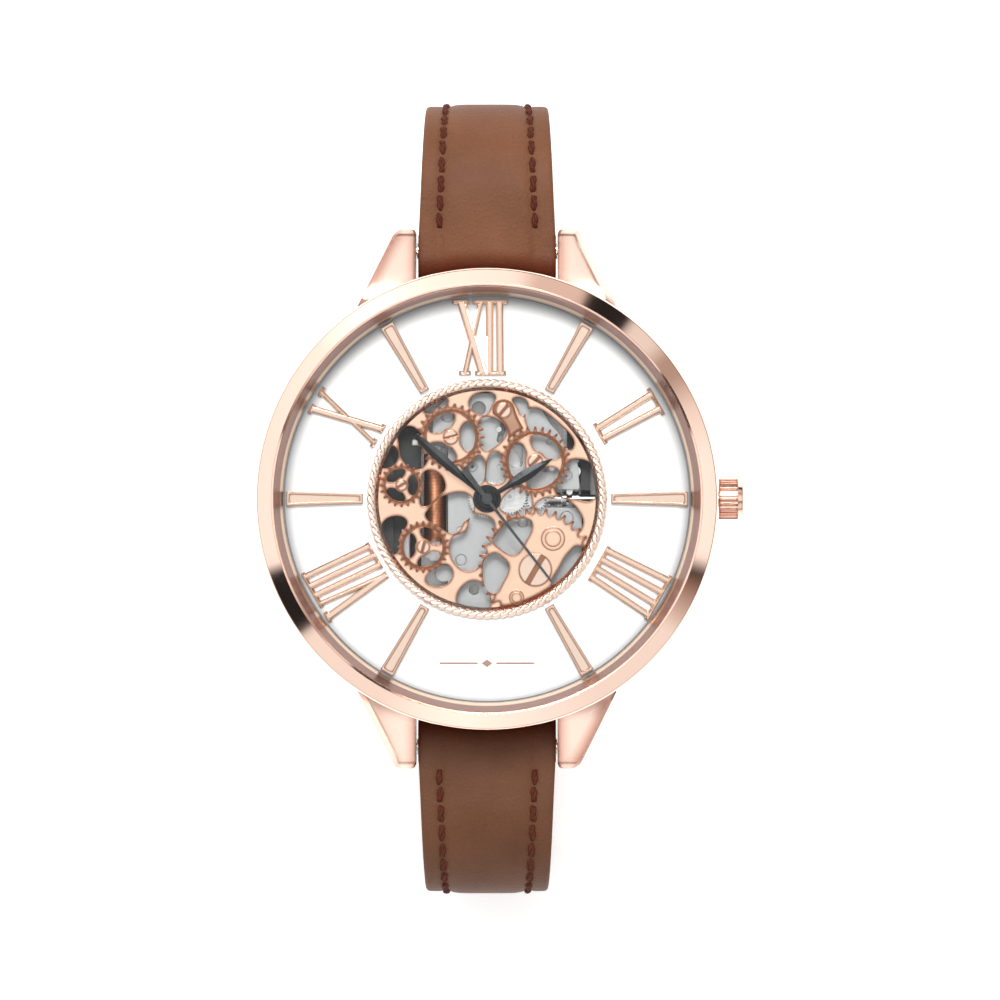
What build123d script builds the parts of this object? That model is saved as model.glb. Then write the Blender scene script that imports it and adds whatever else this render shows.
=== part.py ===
"""A dial-up quartz wristwatch with a cut-out rose gold dial plate, standing on its curved strap.

The case, dial, movement, hands and strap are separate pieces in one frame. X points to the
crown at three o'clock, Y to twelve o'clock and Z out of the dial. The floor under the strap
is Z = 0 and the dial's centre is at X = Y = 0.
"""
import os
from math import cos, pi, radians, sin, sqrt

from build123d import *

# Case
CASE_R = 19.3
BEZEL_R = 19.5
CASE_BOTTOM = 41.0
CASE_TOP = 46.2
BACK_BOTTOM = 40.0
BEZEL_TOP = 50.2
GLASS_R = 18.15
GLASS_BOTTOM = 48.9
GLASS_TOP = 50.3
MOVEMENT_BORE_R = 16.3
LUG_GAP = 12.0
LUG_TIP_Y = 22.9
BAR_Y = 21.1
BAR_Z = 42.0
BAR_R = 0.75

# Dial
DIAL_R = 18.3
DIAL_BOTTOM = 46.2
DIAL_TOP = 46.6
APERTURE_R = 9.9
PLATE_R = 9.85
PLATE_TOP = 46.55
WHEEL_TOP = 46.85
BRIDGE_TOP = 47.1
REHAUT_FOOT_R = 17.1
MARK_HEIGHT = 0.42
MARK_BEVEL = 0.14

# Hands, measured clockwise from twelve
HOUR_ANGLE = 58.5
MINUTE_ANGLE = 311.5
SECONDS_ANGLE = 142.0

# Movement
BRIDGE_Z = 41.4
MAIN_BOTTOM = 44.2
MAIN_TOP = 45.2
STEM_Z = 44.0
ROTOR = (-1.25, 2.72)
FIFTH = (0.990, 2.779)
THIRD = (2.432, -1.579)
MINUTE_WHEEL = (1.928, 0.190)
SETTING_WHEEL = (4.166, -0.1245)
LEVER = (7.425, 2.32)
BATTERY = (3.2, -8.1)
COIL_X = -4.4
COIL_Z = 43.92

# Strap
STRAP_W = 11.7
STRAP_MID_W = 10.3
STRAP_END_W = 9.8
STRAP_T = 2.4
END_LENGTH = 9.0
LEG_Y = 32.6
FOOT_Z = 0.7
CORNER_R = 7.0
BEND_R = 7.0
CURL_R = 12.0
CURL_ANGLE = 45.0
CURL_START_Y = 19.5
TAIL_Y = 11.0
NOSE_R = 19.46

os.makedirs("parts", exist_ok=True)


def turned(point, angle):
    """A point turned clockwise about the dial's centre by an angle in degrees."""
    a = radians(angle)
    return (point[0] * cos(a) + point[1] * sin(a), point[1] * cos(a) - point[0] * sin(a))


def tooth_points(teeth, module, turn):
    """The outline of a small gear: four corners to a tooth, one tooth centred at the turn."""
    root = module * (teeth / 2 - 1.2)
    tip = module * (teeth / 2 + 1)
    step = 2 * pi / teeth
    points = []
    for i in range(teeth):
        middle = radians(turn) + i * step
        for radius, lean in ((root, -0.29), (tip, -0.11), (tip, 0.11), (root, 0.29)):
            angle = middle + lean * step
            points.append((radius * cos(angle), radius * sin(angle)))
    return points


def gear_layer(centre, z, height, teeth, module, turn=0.0):
    """One toothed disc inside the open part, lying flat with its lower face at z."""
    with BuildSketch(Plane.XY.offset(z)) as layer:
        with Locations(centre):
            Polygon(*tooth_points(teeth, module, turn), align=None)
    extrude(layer.sketch, amount=height)


def post(centre, radius, low, high, mode=Mode.ADD):
    """An upright round post, or a hole with mode=Mode.SUBTRACT, between two heights."""
    with BuildSketch(Plane.XY.offset(low)) as section:
        with Locations(centre):
            Circle(radius)
    extrude(section.sketch, amount=high - low, mode=mode)


def ring(inner, outer, low, high, mode=Mode.ADD, centre=(0, 0)):
    """An upright ring between two heights."""
    with BuildSketch(Plane.XY.offset(low)) as section:
        with Locations(centre):
            Circle(outer)
            Circle(inner, mode=Mode.SUBTRACT)
    extrude(section.sketch, amount=high - low, mode=mode)


def turned_section(points):
    """A solid of revolution about the dial's axis from corners given as (radius, height)."""
    with BuildSketch(Plane.XZ) as section:
        Polygon(*points, align=None)
    revolve(section.sketch, axis=Axis.Z)


def slotted_head(centre, radius, low, high, slot_angle, slot_depth=0.14):
    """A round screw head with a slightly bevelled rim and a straight slot."""
    post(centre, radius, low, high - 0.05)
    post(centre, radius - 0.07, high - 0.05, high)
    with BuildSketch(Plane.XY.offset(high - slot_depth)) as slot:
        with Locations(centre):
            Rectangle(radius * 2.2, radius * 0.26, rotation=slot_angle)
    extrude(slot.sketch, amount=slot_depth, mode=Mode.SUBTRACT)



# ---------------------------------------------------------------- case
with BuildPart() as lugs:
    with BuildSketch(Plane.XY.offset(39.5)):
        for sx in (-1, 1):
            for sy in (-1, 1):
                with BuildLine():
                    Polyline(
                        (sx * LUG_GAP / 2, sy * 14.0),
                        (sx * LUG_GAP / 2, sy * (LUG_TIP_Y - 0.4)),
                        (sx * (LUG_GAP / 2 + 0.12), sy * (LUG_TIP_Y - 0.12)),
                        (sx * (LUG_GAP / 2 + 0.4), sy * LUG_TIP_Y),
                        (sx * 7.4, sy * LUG_TIP_Y),
                        (sx * 7.75, sy * (LUG_TIP_Y - 0.16)),
                        (sx * 8.02, sy * 22.3),
                        (sx * 11.0, sy * 16.2),
                        (sx * 11.4, sy * 13.5),
                        close=True,
                    )
                make_face()
    extrude(amount=6.7)
    # seen from the side the lugs fall away from the case to a rounded tip
    with BuildSketch(Plane.YZ.offset(-14)):
        for sy in (-1, 1):
            with BuildLine():
                Polyline((sy * 17.0, 46.0), (sy * 10, 46.0), (sy * 10, 41.0), (sy * 18.6, 41.0),
                         (sy * 21.6, 40.25))
                ThreePointArc((sy * 21.6, 40.25), (sy * 22.6, 40.7), (sy * LUG_TIP_Y, 41.7))
                Line((sy * LUG_TIP_Y, 41.7), (sy * LUG_TIP_Y, 42.6))
                ThreePointArc((sy * LUG_TIP_Y, 42.6), (sy * 22.55, 43.25), (sy * 21.9, 43.7))
                ThreePointArc((sy * 21.9, 43.7), (sy * 19.6, 45.1), (sy * 17.0, 46.0))
            make_face()
    extrude(amount=28, mode=Mode.INTERSECT)
    # a long bevel along each outer flank, widest where the lug leaves the case
    for sx in (-1, 1):
        for sy in (-1, 1):
            flank = Plane(origin=(sx * 7.95, sy * 22.4, 43.2), x_dir=(sx * 0.895, sy * 0.446, 0),
                          z_dir=(sx * 0.446 * 0.93, -sy * 0.895 * 0.93, 0.37))
            with BuildSketch(flank.offset(-3)):
                Polygon((-0.5, 3), (-0.5, 0.35), (3, -3.15), (3, 3), align=None)
            extrude(amount=14, mode=Mode.SUBTRACT)

with BuildPart() as case_middle:
    turned_section([(16.3, CASE_BOTTOM), (18.6, CASE_BOTTOM), (CASE_R, 41.7), (CASE_R, 45.8),
                    (18.95, CASE_TOP), (16.3, CASE_TOP)])
    add(lugs.part)
    post((0, 0), MOVEMENT_BORE_R, CASE_BOTTOM - 2, CASE_TOP, mode=Mode.SUBTRACT)
    # groove that the bezel's skirt presses into, and the seat of the case back
    ring(18.42, 18.87, 45.1, CASE_TOP, mode=Mode.SUBTRACT)
    post((0, 0), 17.0, CASE_BOTTOM - 2, CASE_BOTTOM + 0.9, mode=Mode.SUBTRACT)
    # spring bar holes in the lugs, and the stem's bore
    for sy in (-1, 1):
        with BuildSketch(Plane.YZ.offset(-6.9)) as bar_hole:
            with Locations((sy * BAR_Y, BAR_Z)):
                Circle(0.42)
        extrude(bar_hole.sketch, amount=13.8, mode=Mode.SUBTRACT)
    with BuildSketch(Plane.YZ.offset(15)) as stem_bore:
        with Locations((0, STEM_Z)):
            Circle(1.0)
    extrude(stem_bore.sketch, amount=6, mode=Mode.SUBTRACT)

with BuildPart() as bezel:
    with BuildSketch(Plane.XZ) as bezel_section:
        with BuildLine():
            Polyline((18.0, 49.9), (18.42, 49.9), (18.42, 45.2), (18.85, 45.2), (18.85, 46.3),
                     (19.15, 46.3), (BEZEL_R, 46.65), (BEZEL_R, 49.2))
            ThreePointArc((BEZEL_R, 49.2), (19.45, 49.42), (19.3, 49.58))
            Polyline((19.3, 49.58), (18.18, BEZEL_TOP), (18.0, 50.08), (18.0, 49.9))
        make_face()
    revolve(axis=Axis.Z)

with BuildPart() as crystal_glass:
    turned_section([(0, GLASS_BOTTOM), (GLASS_R, GLASS_BOTTOM), (GLASS_R, 49.86), (17.95, 49.86),
                    (17.95, GLASS_TOP - 0.2), (17.75, GLASS_TOP), (0, GLASS_TOP)])

with BuildPart() as crystal_gasket:
    ring(GLASS_R, 18.4, GLASS_BOTTOM, 49.84)

with BuildPart() as rehaut_ring:
    turned_section([(REHAUT_FOOT_R, DIAL_TOP), (18.35, DIAL_TOP), (18.35, GLASS_BOTTOM - 0.01),
                    (17.98, GLASS_BOTTOM - 0.01), (17.2, 46.85), (REHAUT_FOOT_R, 46.85)])

with BuildPart() as case_back:
    turned_section([(0, BACK_BOTTOM), (16.9, BACK_BOTTOM), (17.6, 40.5), (17.6, 40.98),
                    (16.96, 40.98), (16.96, 41.6), (16.3, 41.6), (16.3, 40.9), (0, 40.9)])
    # a shallow ring turned into the back, and the lip where a case knife lifts it
    ring(13.2, 13.5, BACK_BOTTOM, BACK_BOTTOM + 0.15, mode=Mode.SUBTRACT)
    with BuildSketch(Plane.XY.offset(40.55)) as knife_lip:
        with Locations((0, -17.6)):
            Rectangle(3.0, 0.9)
    extrude(knife_lip.sketch, amount=0.43, mode=Mode.SUBTRACT)

with BuildPart() as case_back_gasket:
    ring(16.36, 16.94, 41.62, 41.88)

# ---------------------------------------------------------------- crown and setting work
with BuildPart() as crown_tube:
    with BuildSketch(Plane.YZ.offset(16.4)):
        with Locations((0, STEM_Z)):
            Circle(0.99)
            Circle(0.62, mode=Mode.SUBTRACT)
    extrude(amount=3.05)

with BuildPart() as crown:
    with BuildSketch(Plane.YZ.offset(19.65)):
        with Locations((0, STEM_Z)):
            Polygon(*[
                ((1.75 - 0.13 * (i % 4 > 1)) * cos(2 * pi * (i + 0.5 * (i % 2)) / 96),
                 (1.75 - 0.13 * (i % 4 > 1)) * sin(2 * pi * (i + 0.5 * (i % 2)) / 96))
                for i in range(96)
            ], align=None)
    extrude(amount=1.6)
    with BuildSketch(Plane.YZ.offset(21.25)):
        with Locations((0, STEM_Z)):
            Circle(1.6)
    extrude(amount=0.42, taper=22)
    # the hub that the stem screws into, clear of the tube
    with BuildSketch(Plane.YZ.offset(19.65)):
        with Locations((0, STEM_Z)):
            Circle(1.2)
    extrude(amount=1.0, mode=Mode.SUBTRACT)
    with BuildSketch(Plane.YZ.offset(19.2)):
        with Locations((0, STEM_Z)):
            Circle(0.58)
    extrude(amount=1.6)
    with BuildSketch(Plane.YZ.offset(19.2)):
        with Locations((0, STEM_Z)):
            Circle(0.35)
    extrude(amount=1.2, mode=Mode.SUBTRACT)

with BuildPart() as crown_gasket:
    with BuildSketch(Plane.YZ.offset(19.95)):
        with Locations((0, STEM_Z)):
            Circle(1.19)
            Circle(0.6, mode=Mode.SUBTRACT)
    extrude(amount=0.35)


def stem_step(x, length, radius, mode=Mode.ADD):
    """One turned step of the stem's axis line."""
    with BuildSketch(Plane.YZ.offset(x)) as step:
        with Locations((0, STEM_Z)):
            Circle(radius)
    extrude(step.sketch, amount=length, mode=mode)


with BuildPart() as stem:
    stem_step(7.8, 12.6, 0.34)
    stem_step(7.26, 0.54, 0.62)
    stem_step(6.7, 0.56, 0.25)
    stem_step(6.4, 0.3, 0.62)
    with BuildSketch(Plane.YZ.offset(5.0)):
        with Locations((0, STEM_Z)):
            Rectangle(0.44, 0.44)
    extrude(amount=1.4)

with BuildPart() as sliding_pinion:
    stem_step(5.35, 0.9, 0.5)
    stem_step(5.35, 0.12, 0.6)
    stem_step(5.6, 0.12, 0.62)
    with BuildSketch(Plane.YZ.offset(5.2)):
        with Locations((0, STEM_Z)):
            with PolarLocations(0.45, 8):
                Rectangle(0.2, 0.12)
    extrude(amount=0.16)
    with BuildSketch(Plane.YZ.offset(5.0)):
        with Locations((0, STEM_Z)):
            Rectangle(0.5, 0.5)
    extrude(amount=1.5, mode=Mode.SUBTRACT)

with BuildPart() as setting_lever:
    # at rest the pin stands 0.25 rad to the crown's far side of the lever's middle
    pin_point = (LEVER[0] - 1.8 * sin(0.25), LEVER[1] - 1.8 * cos(0.25))
    with BuildSketch(Plane.XY.offset(44.75)):
        with BuildLine() as lever_line:
            Line(LEVER, pin_point)
        trace(line_width=0.5)
        with Locations(LEVER):
            Circle(0.5)
            Circle(0.2, mode=Mode.SUBTRACT)
        with Locations(pin_point):
            Circle(0.25)
    extrude(amount=0.25)
    post(pin_point, 0.18, 43.75, 44.75)

with BuildPart() as setting_wheel:
    gear_layer(SETTING_WHEEL, 45.4, 0.15, 20, 0.0807, turn=9.0)
    post(SETTING_WHEEL, 0.4, 45.3, 45.7)
    post(SETTING_WHEEL, 0.18, 45.2, 45.8, mode=Mode.SUBTRACT)

# ---------------------------------------------------------------- movement
with BuildPart() as movement_holder:
    ring(0.1, 16.2, 41.95, 45.9)
    with BuildSketch(Plane.XY.offset(41.5)) as pocket:
        with Locations((0, -1.5)):
            RectangleRounded(17.6, 21.2, 3.5)
        Circle(9.8)
    extrude(pocket.sketch, amount=5, mode=Mode.SUBTRACT)
    with BuildSketch(Plane.YZ.offset(8)) as stem_slot:
        with Locations((0, STEM_Z)):
            Rectangle(1.6, 1.6)
    extrude(stem_slot.sketch, amount=9, mode=Mode.SUBTRACT)
    for x, y in ((12.9, 9.0), (-12.9, 9.0), (-12.9, -9.0), (12.9, -9.0)):
        post((x, y), 1.4, 41.5, 44.9, mode=Mode.SUBTRACT)

with BuildPart() as base_frame:
    with BuildSketch(Plane.XY.offset(42.02)):
        with Locations((0, -1.5)):
            RectangleRounded(17.5, 21.1, 3.45)
        with Locations((0, -1.5)):
            RectangleRounded(15.9, 20.1, 2.7, mode=Mode.SUBTRACT)
    extrude(amount=2.13)
    # floors beside the coil and at three o'clock, seen past the main plate
    with BuildSketch(Plane.XY.offset(42.02)):
        with Locations((-6.8, -1.5)):
            Rectangle(2.4, 17.0)
        with Locations((7.6, 4.0)):
            Rectangle(1.6, 5.0)
    extrude(amount=1.2)
    # the setting lever's post, and the way in for the stem
    post(LEVER, 0.18, 43.2, 45.15)
    stem_step(6.4, 3.0, 0.75, mode=Mode.SUBTRACT)

with BuildPart() as train_bridge:
    with BuildSketch(Plane.XY.offset(BRIDGE_Z)):
        with BuildLine():
            Polyline((-3.2, 5.6), (-3.2, -3.6), (0.2, -4.2), (4.6, -4.1), (6.4, -3.0),
                     (6.4, 3.2), (4.4, 6.2), (-1.0, 6.8), close=True)
        make_face()
        fillet(vertices(), radius=0.5)
        for point in ((0, 0), THIRD, FIFTH, ROTOR):
            with Locations(point):
                Circle(0.12, mode=Mode.SUBTRACT)
        for point in ((-2.3, -2.6), (5.5, 2.6), (1.0, 5.9)):
            with Locations(point):
                Circle(0.36, mode=Mode.SUBTRACT)
    extrude(amount=0.6)

with BuildPart() as main_plate:
    with BuildSketch(Plane.XY.offset(MAIN_BOTTOM)):
        with BuildLine():
            Polyline((-3.3, 3.0), (-3.3, -8.6), (-1.0, -9.3), (3.0, -9.3), (6.8, -7.9),
                     (8.05, -5.0), (8.05, 0.2), (7.8, 3.3), (6.65, 4.4), (6.1, 5.5),
                     (5.4, 6.3), (4.7, 7.5), (2.5, 9.0), (-3.0, 8.9), (-4.6, 7.4), (-4.6, 4.6), (-3.3, 4.3), close=True)
        make_face()
        # slots and windows in the plate
        with Locations((1.25, 5.65)):
            SlotOverall(1.9, 0.5, rotation=75, mode=Mode.SUBTRACT)
        with Locations((4.95, 2.69)):
            Circle(0.42, mode=Mode.SUBTRACT)
        with Locations((-1.10, -7.70)):
            Circle(0.45, mode=Mode.SUBTRACT)
        with Locations((6.6, 0)):
            Rectangle(3.4, 1.5, mode=Mode.SUBTRACT)
        with Locations((7.5, 1.5)):
            Rectangle(2.6, 3.2, mode=Mode.SUBTRACT)
        with Locations((-0.7, 7.66)):
            Circle(0.6, mode=Mode.SUBTRACT)
        with Locations((2.45, 3.6)):
            RectangleRounded(1.2, 2.0, 0.5, mode=Mode.SUBTRACT)
        for point, radius in ((THIRD, 0.12), (FIFTH, 0.12), (ROTOR, 0.12), ((0, 0), 0.46)):
            with Locations(point):
                Circle(radius, mode=Mode.SUBTRACT)
        for point in ((-2.3, -2.6), (5.5, 2.6), (1.0, 5.9)):
            with Locations(point):
                Circle(0.25, mode=Mode.SUBTRACT)
    extrude(amount=MAIN_TOP - MAIN_BOTTOM)
    # turned grooves and a round foot that show through the cut-out plate
    for point, radius in (((-3.3, 7.0), 0.56), ((5.3, 4.8), 0.26), ((6.75, -1.65), 0.6),
                          ((3.03, -2.02), 0.45), ((-2.2, -5.2), 0.5)):
        ring(radius - 0.09, radius, MAIN_TOP - 0.14, MAIN_TOP, mode=Mode.SUBTRACT, centre=point)
    post((-3.65, -6.3), 0.72, MAIN_BOTTOM, MAIN_TOP)
    # posts for the minute wheel and the setting wheel
    post(MINUTE_WHEEL, 0.15, MAIN_TOP - 0.2, 45.98)
    post(SETTING_WHEEL, 0.15, MAIN_TOP - 0.2, 45.8)
    # pillars down to the train bridge
    for point in ((-2.3, -2.6), (5.5, 2.6), (1.0, 5.9)):
        ring(0.25, 0.5, BRIDGE_Z + 0.6, MAIN_BOTTOM, centre=point)
    # raised rims round the train bearings
    for point in (THIRD, ROTOR):
        ring(0.3, 0.42, MAIN_TOP, MAIN_TOP + 0.1, centre=point)

with BuildPart() as lever_cover:
    with BuildSketch(Plane.XY.offset(MAIN_TOP)):
        with BuildLine():
            Polyline((5.75, 0.8), (7.85, 0.8), (7.65, 3.35), (5.75, 3.35), close=True)
        make_face()
        fillet(vertices(), radius=0.2)
    extrude(amount=0.25)
    ring(0.36, 0.44, MAIN_TOP + 0.13, MAIN_TOP + 0.25, mode=Mode.SUBTRACT, centre=(6.8, 1.95))

with BuildPart() as bridge_screws:
    for point in ((-2.3, -2.6), (5.5, 2.6), (1.0, 5.9)):
        post(point, 0.24, 41.3, 45.0)
        slotted_head(point, 0.5, 41.05, 41.38, 30)

with BuildPart() as stator:
    with BuildSketch(Plane.XY.offset(43.45)):
        with BuildLine():
            Polyline((-4.9, 4.55), (-3.4, 4.5), (-2.4, 3.75), (-2.3, 2.3), (-1.9, 1.75),
                     (-0.6, 1.75), (-0.05, 2.4), (-0.05, 3.2), (-0.5, 3.9), (-1.2, 4.1),
                     (-2.2, 4.6), (-3.0, 5.4), (-4.9, 5.45), close=True)
        make_face()
        fillet(vertices(), radius=0.12)
        with BuildLine():
            Polyline((-4.9, -4.15), (-3.3, -4.15), (-2.75, -3.4), (-2.75, 1.0), (-2.0, 2.1),
                     (-2.0, 3.1), (-3.2, 1.6), (-3.3, -3.0), (-3.6, -5.0), (-4.9, -5.05),
                     close=True)
        make_face()
        with Locations(ROTOR):
            Circle(0.8, mode=Mode.SUBTRACT)
    extrude(amount=0.4)

with BuildPart() as coil_core:
    with BuildSketch(Plane.XY.offset(43.86)):
        with Locations((COIL_X, 0.15)):
            Rectangle(0.9, 10.8)
        with Locations((COIL_X, 5.0), (COIL_X, -4.6)):
            Rectangle(1.5, 0.8)
    extrude(amount=0.3)

with BuildPart() as coil_winding:
    with BuildSketch(Plane.XZ.offset(-3.8)):
        with Locations((COIL_X, 44.01)):
            Circle(0.95)
            Rectangle(0.94, 0.34, mode=Mode.SUBTRACT)
    extrude(amount=7.4)

with BuildPart() as circuit_board:
    with BuildSketch(Plane.XY.offset(43.3)):
        with Locations((-6.6, 0.2)):
            Rectangle(1.9, 9.6)
        with Locations((-6.1, 5.35)):
            Rectangle(1.4, 1.3)
    extrude(amount=0.25)
    # contact pads where the coil's wires are soldered
    with BuildSketch(Plane.XY.offset(43.55)):
        with Locations((-5.95, 5.4), (-6.6, -3.2), (-6.6, 1.4)):
            RectangleRounded(0.7, 0.9, 0.2)
    extrude(amount=0.08)

with BuildPart() as quartz_crystal:
    with BuildSketch(Plane.XZ.offset(2.6)):
        with Locations((-6.9, 44.17)):
            RectangleRounded(0.9, 0.5, 0.2)
    extrude(amount=2.6)

with BuildPart() as battery:
    post(BATTERY, 3.4, 41.4, 43.7)
    post(BATTERY, 2.9, 43.7, 44.0)

with BuildPart() as battery_clip:
    with BuildSketch(Plane.XY.offset(41.15)):
        with Locations((BATTERY[0], -7.6)):
            Rectangle(5.0, 1.2)
        with Locations((BATTERY[0] + 3.0, -7.6)):
            Circle(0.9)
    extrude(amount=0.2)

# the wheels between the bridge and the main plate
with BuildPart() as seconds_wheel:
    gear_layer((0, 0), 42.1, 0.15, 40, 0.1229, turn=70.4)
    gear_layer((0, 0), 42.3, 0.4, 8, 0.0853, turn=-33.0)
    post((0, 0), 0.15, 42.0, 48.15)
    post((0, 0), 0.1, 41.5, 42.0)

with BuildPart() as fifth_wheel:
    gear_layer(FIFTH, 42.05, 0.3, 8, 0.1229, turn=70.4 + 180 + 22.5)
    gear_layer(FIFTH, 42.8, 0.15, 48, 0.08, turn=181.5 + 3.75)
    post(FIFTH, 0.2, 42.05, 43.9)
    post(FIFTH, 0.1, 41.5, 44.9)

with BuildPart() as third_wheel:
    gear_layer(THIRD, 42.45, 0.15, 60, 0.0853, turn=147.0 + 3.0)
    gear_layer(THIRD, 43.02, 0.46, 8, 0.0806, turn=147.0)
    post(THIRD, 0.2, 42.45, 43.9)
    post(THIRD, 0.1, 41.5, 44.9)

with BuildPart() as centre_wheel:
    gear_layer((0, 0), 43.15, 0.15, 64, 0.0806, turn=-33.0 + 2.8)
    gear_layer((0, 0), 45.35, 0.3, 12, 0.0807, turn=5.6)
    post((0, 0), 0.38, 43.15, 47.75)
    post((0, 0), 0.18, 43.0, 48.0, mode=Mode.SUBTRACT)

with BuildPart() as minute_wheel:
    gear_layer(MINUTE_WHEEL, 45.4, 0.15, 36, 0.0807, turn=185.6 + 5.0)
    gear_layer(MINUTE_WHEEL, 45.55, 0.38, 10, 0.0775, turn=185.6)
    post(MINUTE_WHEEL, 0.17, 45.2, 46.1, mode=Mode.SUBTRACT)

with BuildPart() as hour_wheel:
    gear_layer((0, 0), 45.74, 0.15, 40, 0.0775, turn=5.6 + 4.5)
    post((0, 0), 0.62, 45.74, 47.4)
    post((0, 0), 0.42, 45.5, 47.6, mode=Mode.SUBTRACT)

with BuildPart() as rotor:
    gear_layer(ROTOR, 42.66, 0.4, 8, 0.08, turn=1.5)
    post(ROTOR, 0.22, 42.66, 43.3)
    post(ROTOR, 0.6, 43.35, 43.95)
    post(ROTOR, 0.1, 41.5, 44.9)

# ---------------------------------------------------------------- dial
with BuildPart() as dial:
    post((0, 0), DIAL_R, DIAL_BOTTOM, DIAL_TOP)
    post((0, 0), APERTURE_R, DIAL_BOTTOM, DIAL_TOP, mode=Mode.SUBTRACT)

with BuildPart() as aperture_ring:
    with BuildSketch(Plane.XZ) as rope_section:
        with Locations((9.8, 46.88)):
            RectangleRounded(0.76, 0.54, 0.25)
        Polygon((9.2, PLATE_TOP + 0.01), (9.6, PLATE_TOP + 0.01), (9.6, 46.85), (9.46, 46.85),
                (9.2, 46.62), align=None)
    revolve(rope_section.sketch, axis=Axis.Z)


def opening(points):
    """One flowing hole of the cut-out plate, cut from the open sketch."""
    with BuildSketch(mode=Mode.PRIVATE) as hole:
        with BuildLine():
            Spline(*points, periodic=True)
        make_face()
    add(hole.sketch, mode=Mode.SUBTRACT)


def spoke_windows(centre, hub, rim, first_spoke, spoke_width, rounding):
    """Three kidney windows between a wheel's hub and rim, cut out of the open sketch."""
    with BuildSketch(mode=Mode.PRIVATE) as windows:
        with Locations(centre):
            Circle(rim)
            Circle(hub, mode=Mode.SUBTRACT)
            for i in range(3):
                turn = first_spoke + 120 * i
                with Locations((rim / 2 * cos(radians(turn)), rim / 2 * sin(radians(turn)))):
                    Rectangle(rim * 1.1, spoke_width, rotation=turn, mode=Mode.SUBTRACT)
        fillet(windows.vertices(), radius=rounding)
    add(windows.sketch, mode=Mode.SUBTRACT)


# centre, tip radius, rim radius, hub radius, spoke turn, spoke width, teeth
WHEEL_A = ((-3.06, 5.22), 2.85, 2.08, 0.82, 62.0, 0.8, 26)
WHEEL_B = ((4.08, 3.15), 3.0, 2.27, 0.9, 115.0, 0.7, 28)
WHEEL_C = ((-7.22, 1.16), 1.86, 1.38, 0.6, 60.0, 0.5, 20)
WHEEL_D = ((-5.38, -4.07), 2.2, 1.66, 0.72, 115.0, 0.6, 24)
WHEEL_E = ((4.17, -5.64), 4.9, 0.0, 0.0, 0.0, 0.0, 36)
SPOKED = (WHEEL_A, WHEEL_B, WHEEL_C, WHEEL_D)
GREAT_WINDOWS = (
    [(0.51, -3.49), (1.09, -2.61), (1.85, -1.9), (2.86, -1.68), (3.7, -1.85), (3.82, -2.44),
     (3.42, -3.37), (2.95, -4.21), (2.41, -4.75), (1.77, -4.66), (1.01, -4.13)],
    [(-0.34, -5.56), (0.12, -4.8), (0.67, -4.55), (1.3, -4.92), (1.85, -5.56), (1.73, -6.32),
     (1.26, -7.24), (0.72, -8), (0.17, -7.88), (-0.29, -6.99)],
    [(7.24, -4.16), (7.75, -3.96), (8.23, -4.29), (8.08, -4.97), (7.41, -5.89), (6.48, -6.74),
     (5.56, -7.54), (5.47, -7.16), (6.06, -5.89), (6.69, -4.77)],
)

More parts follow.
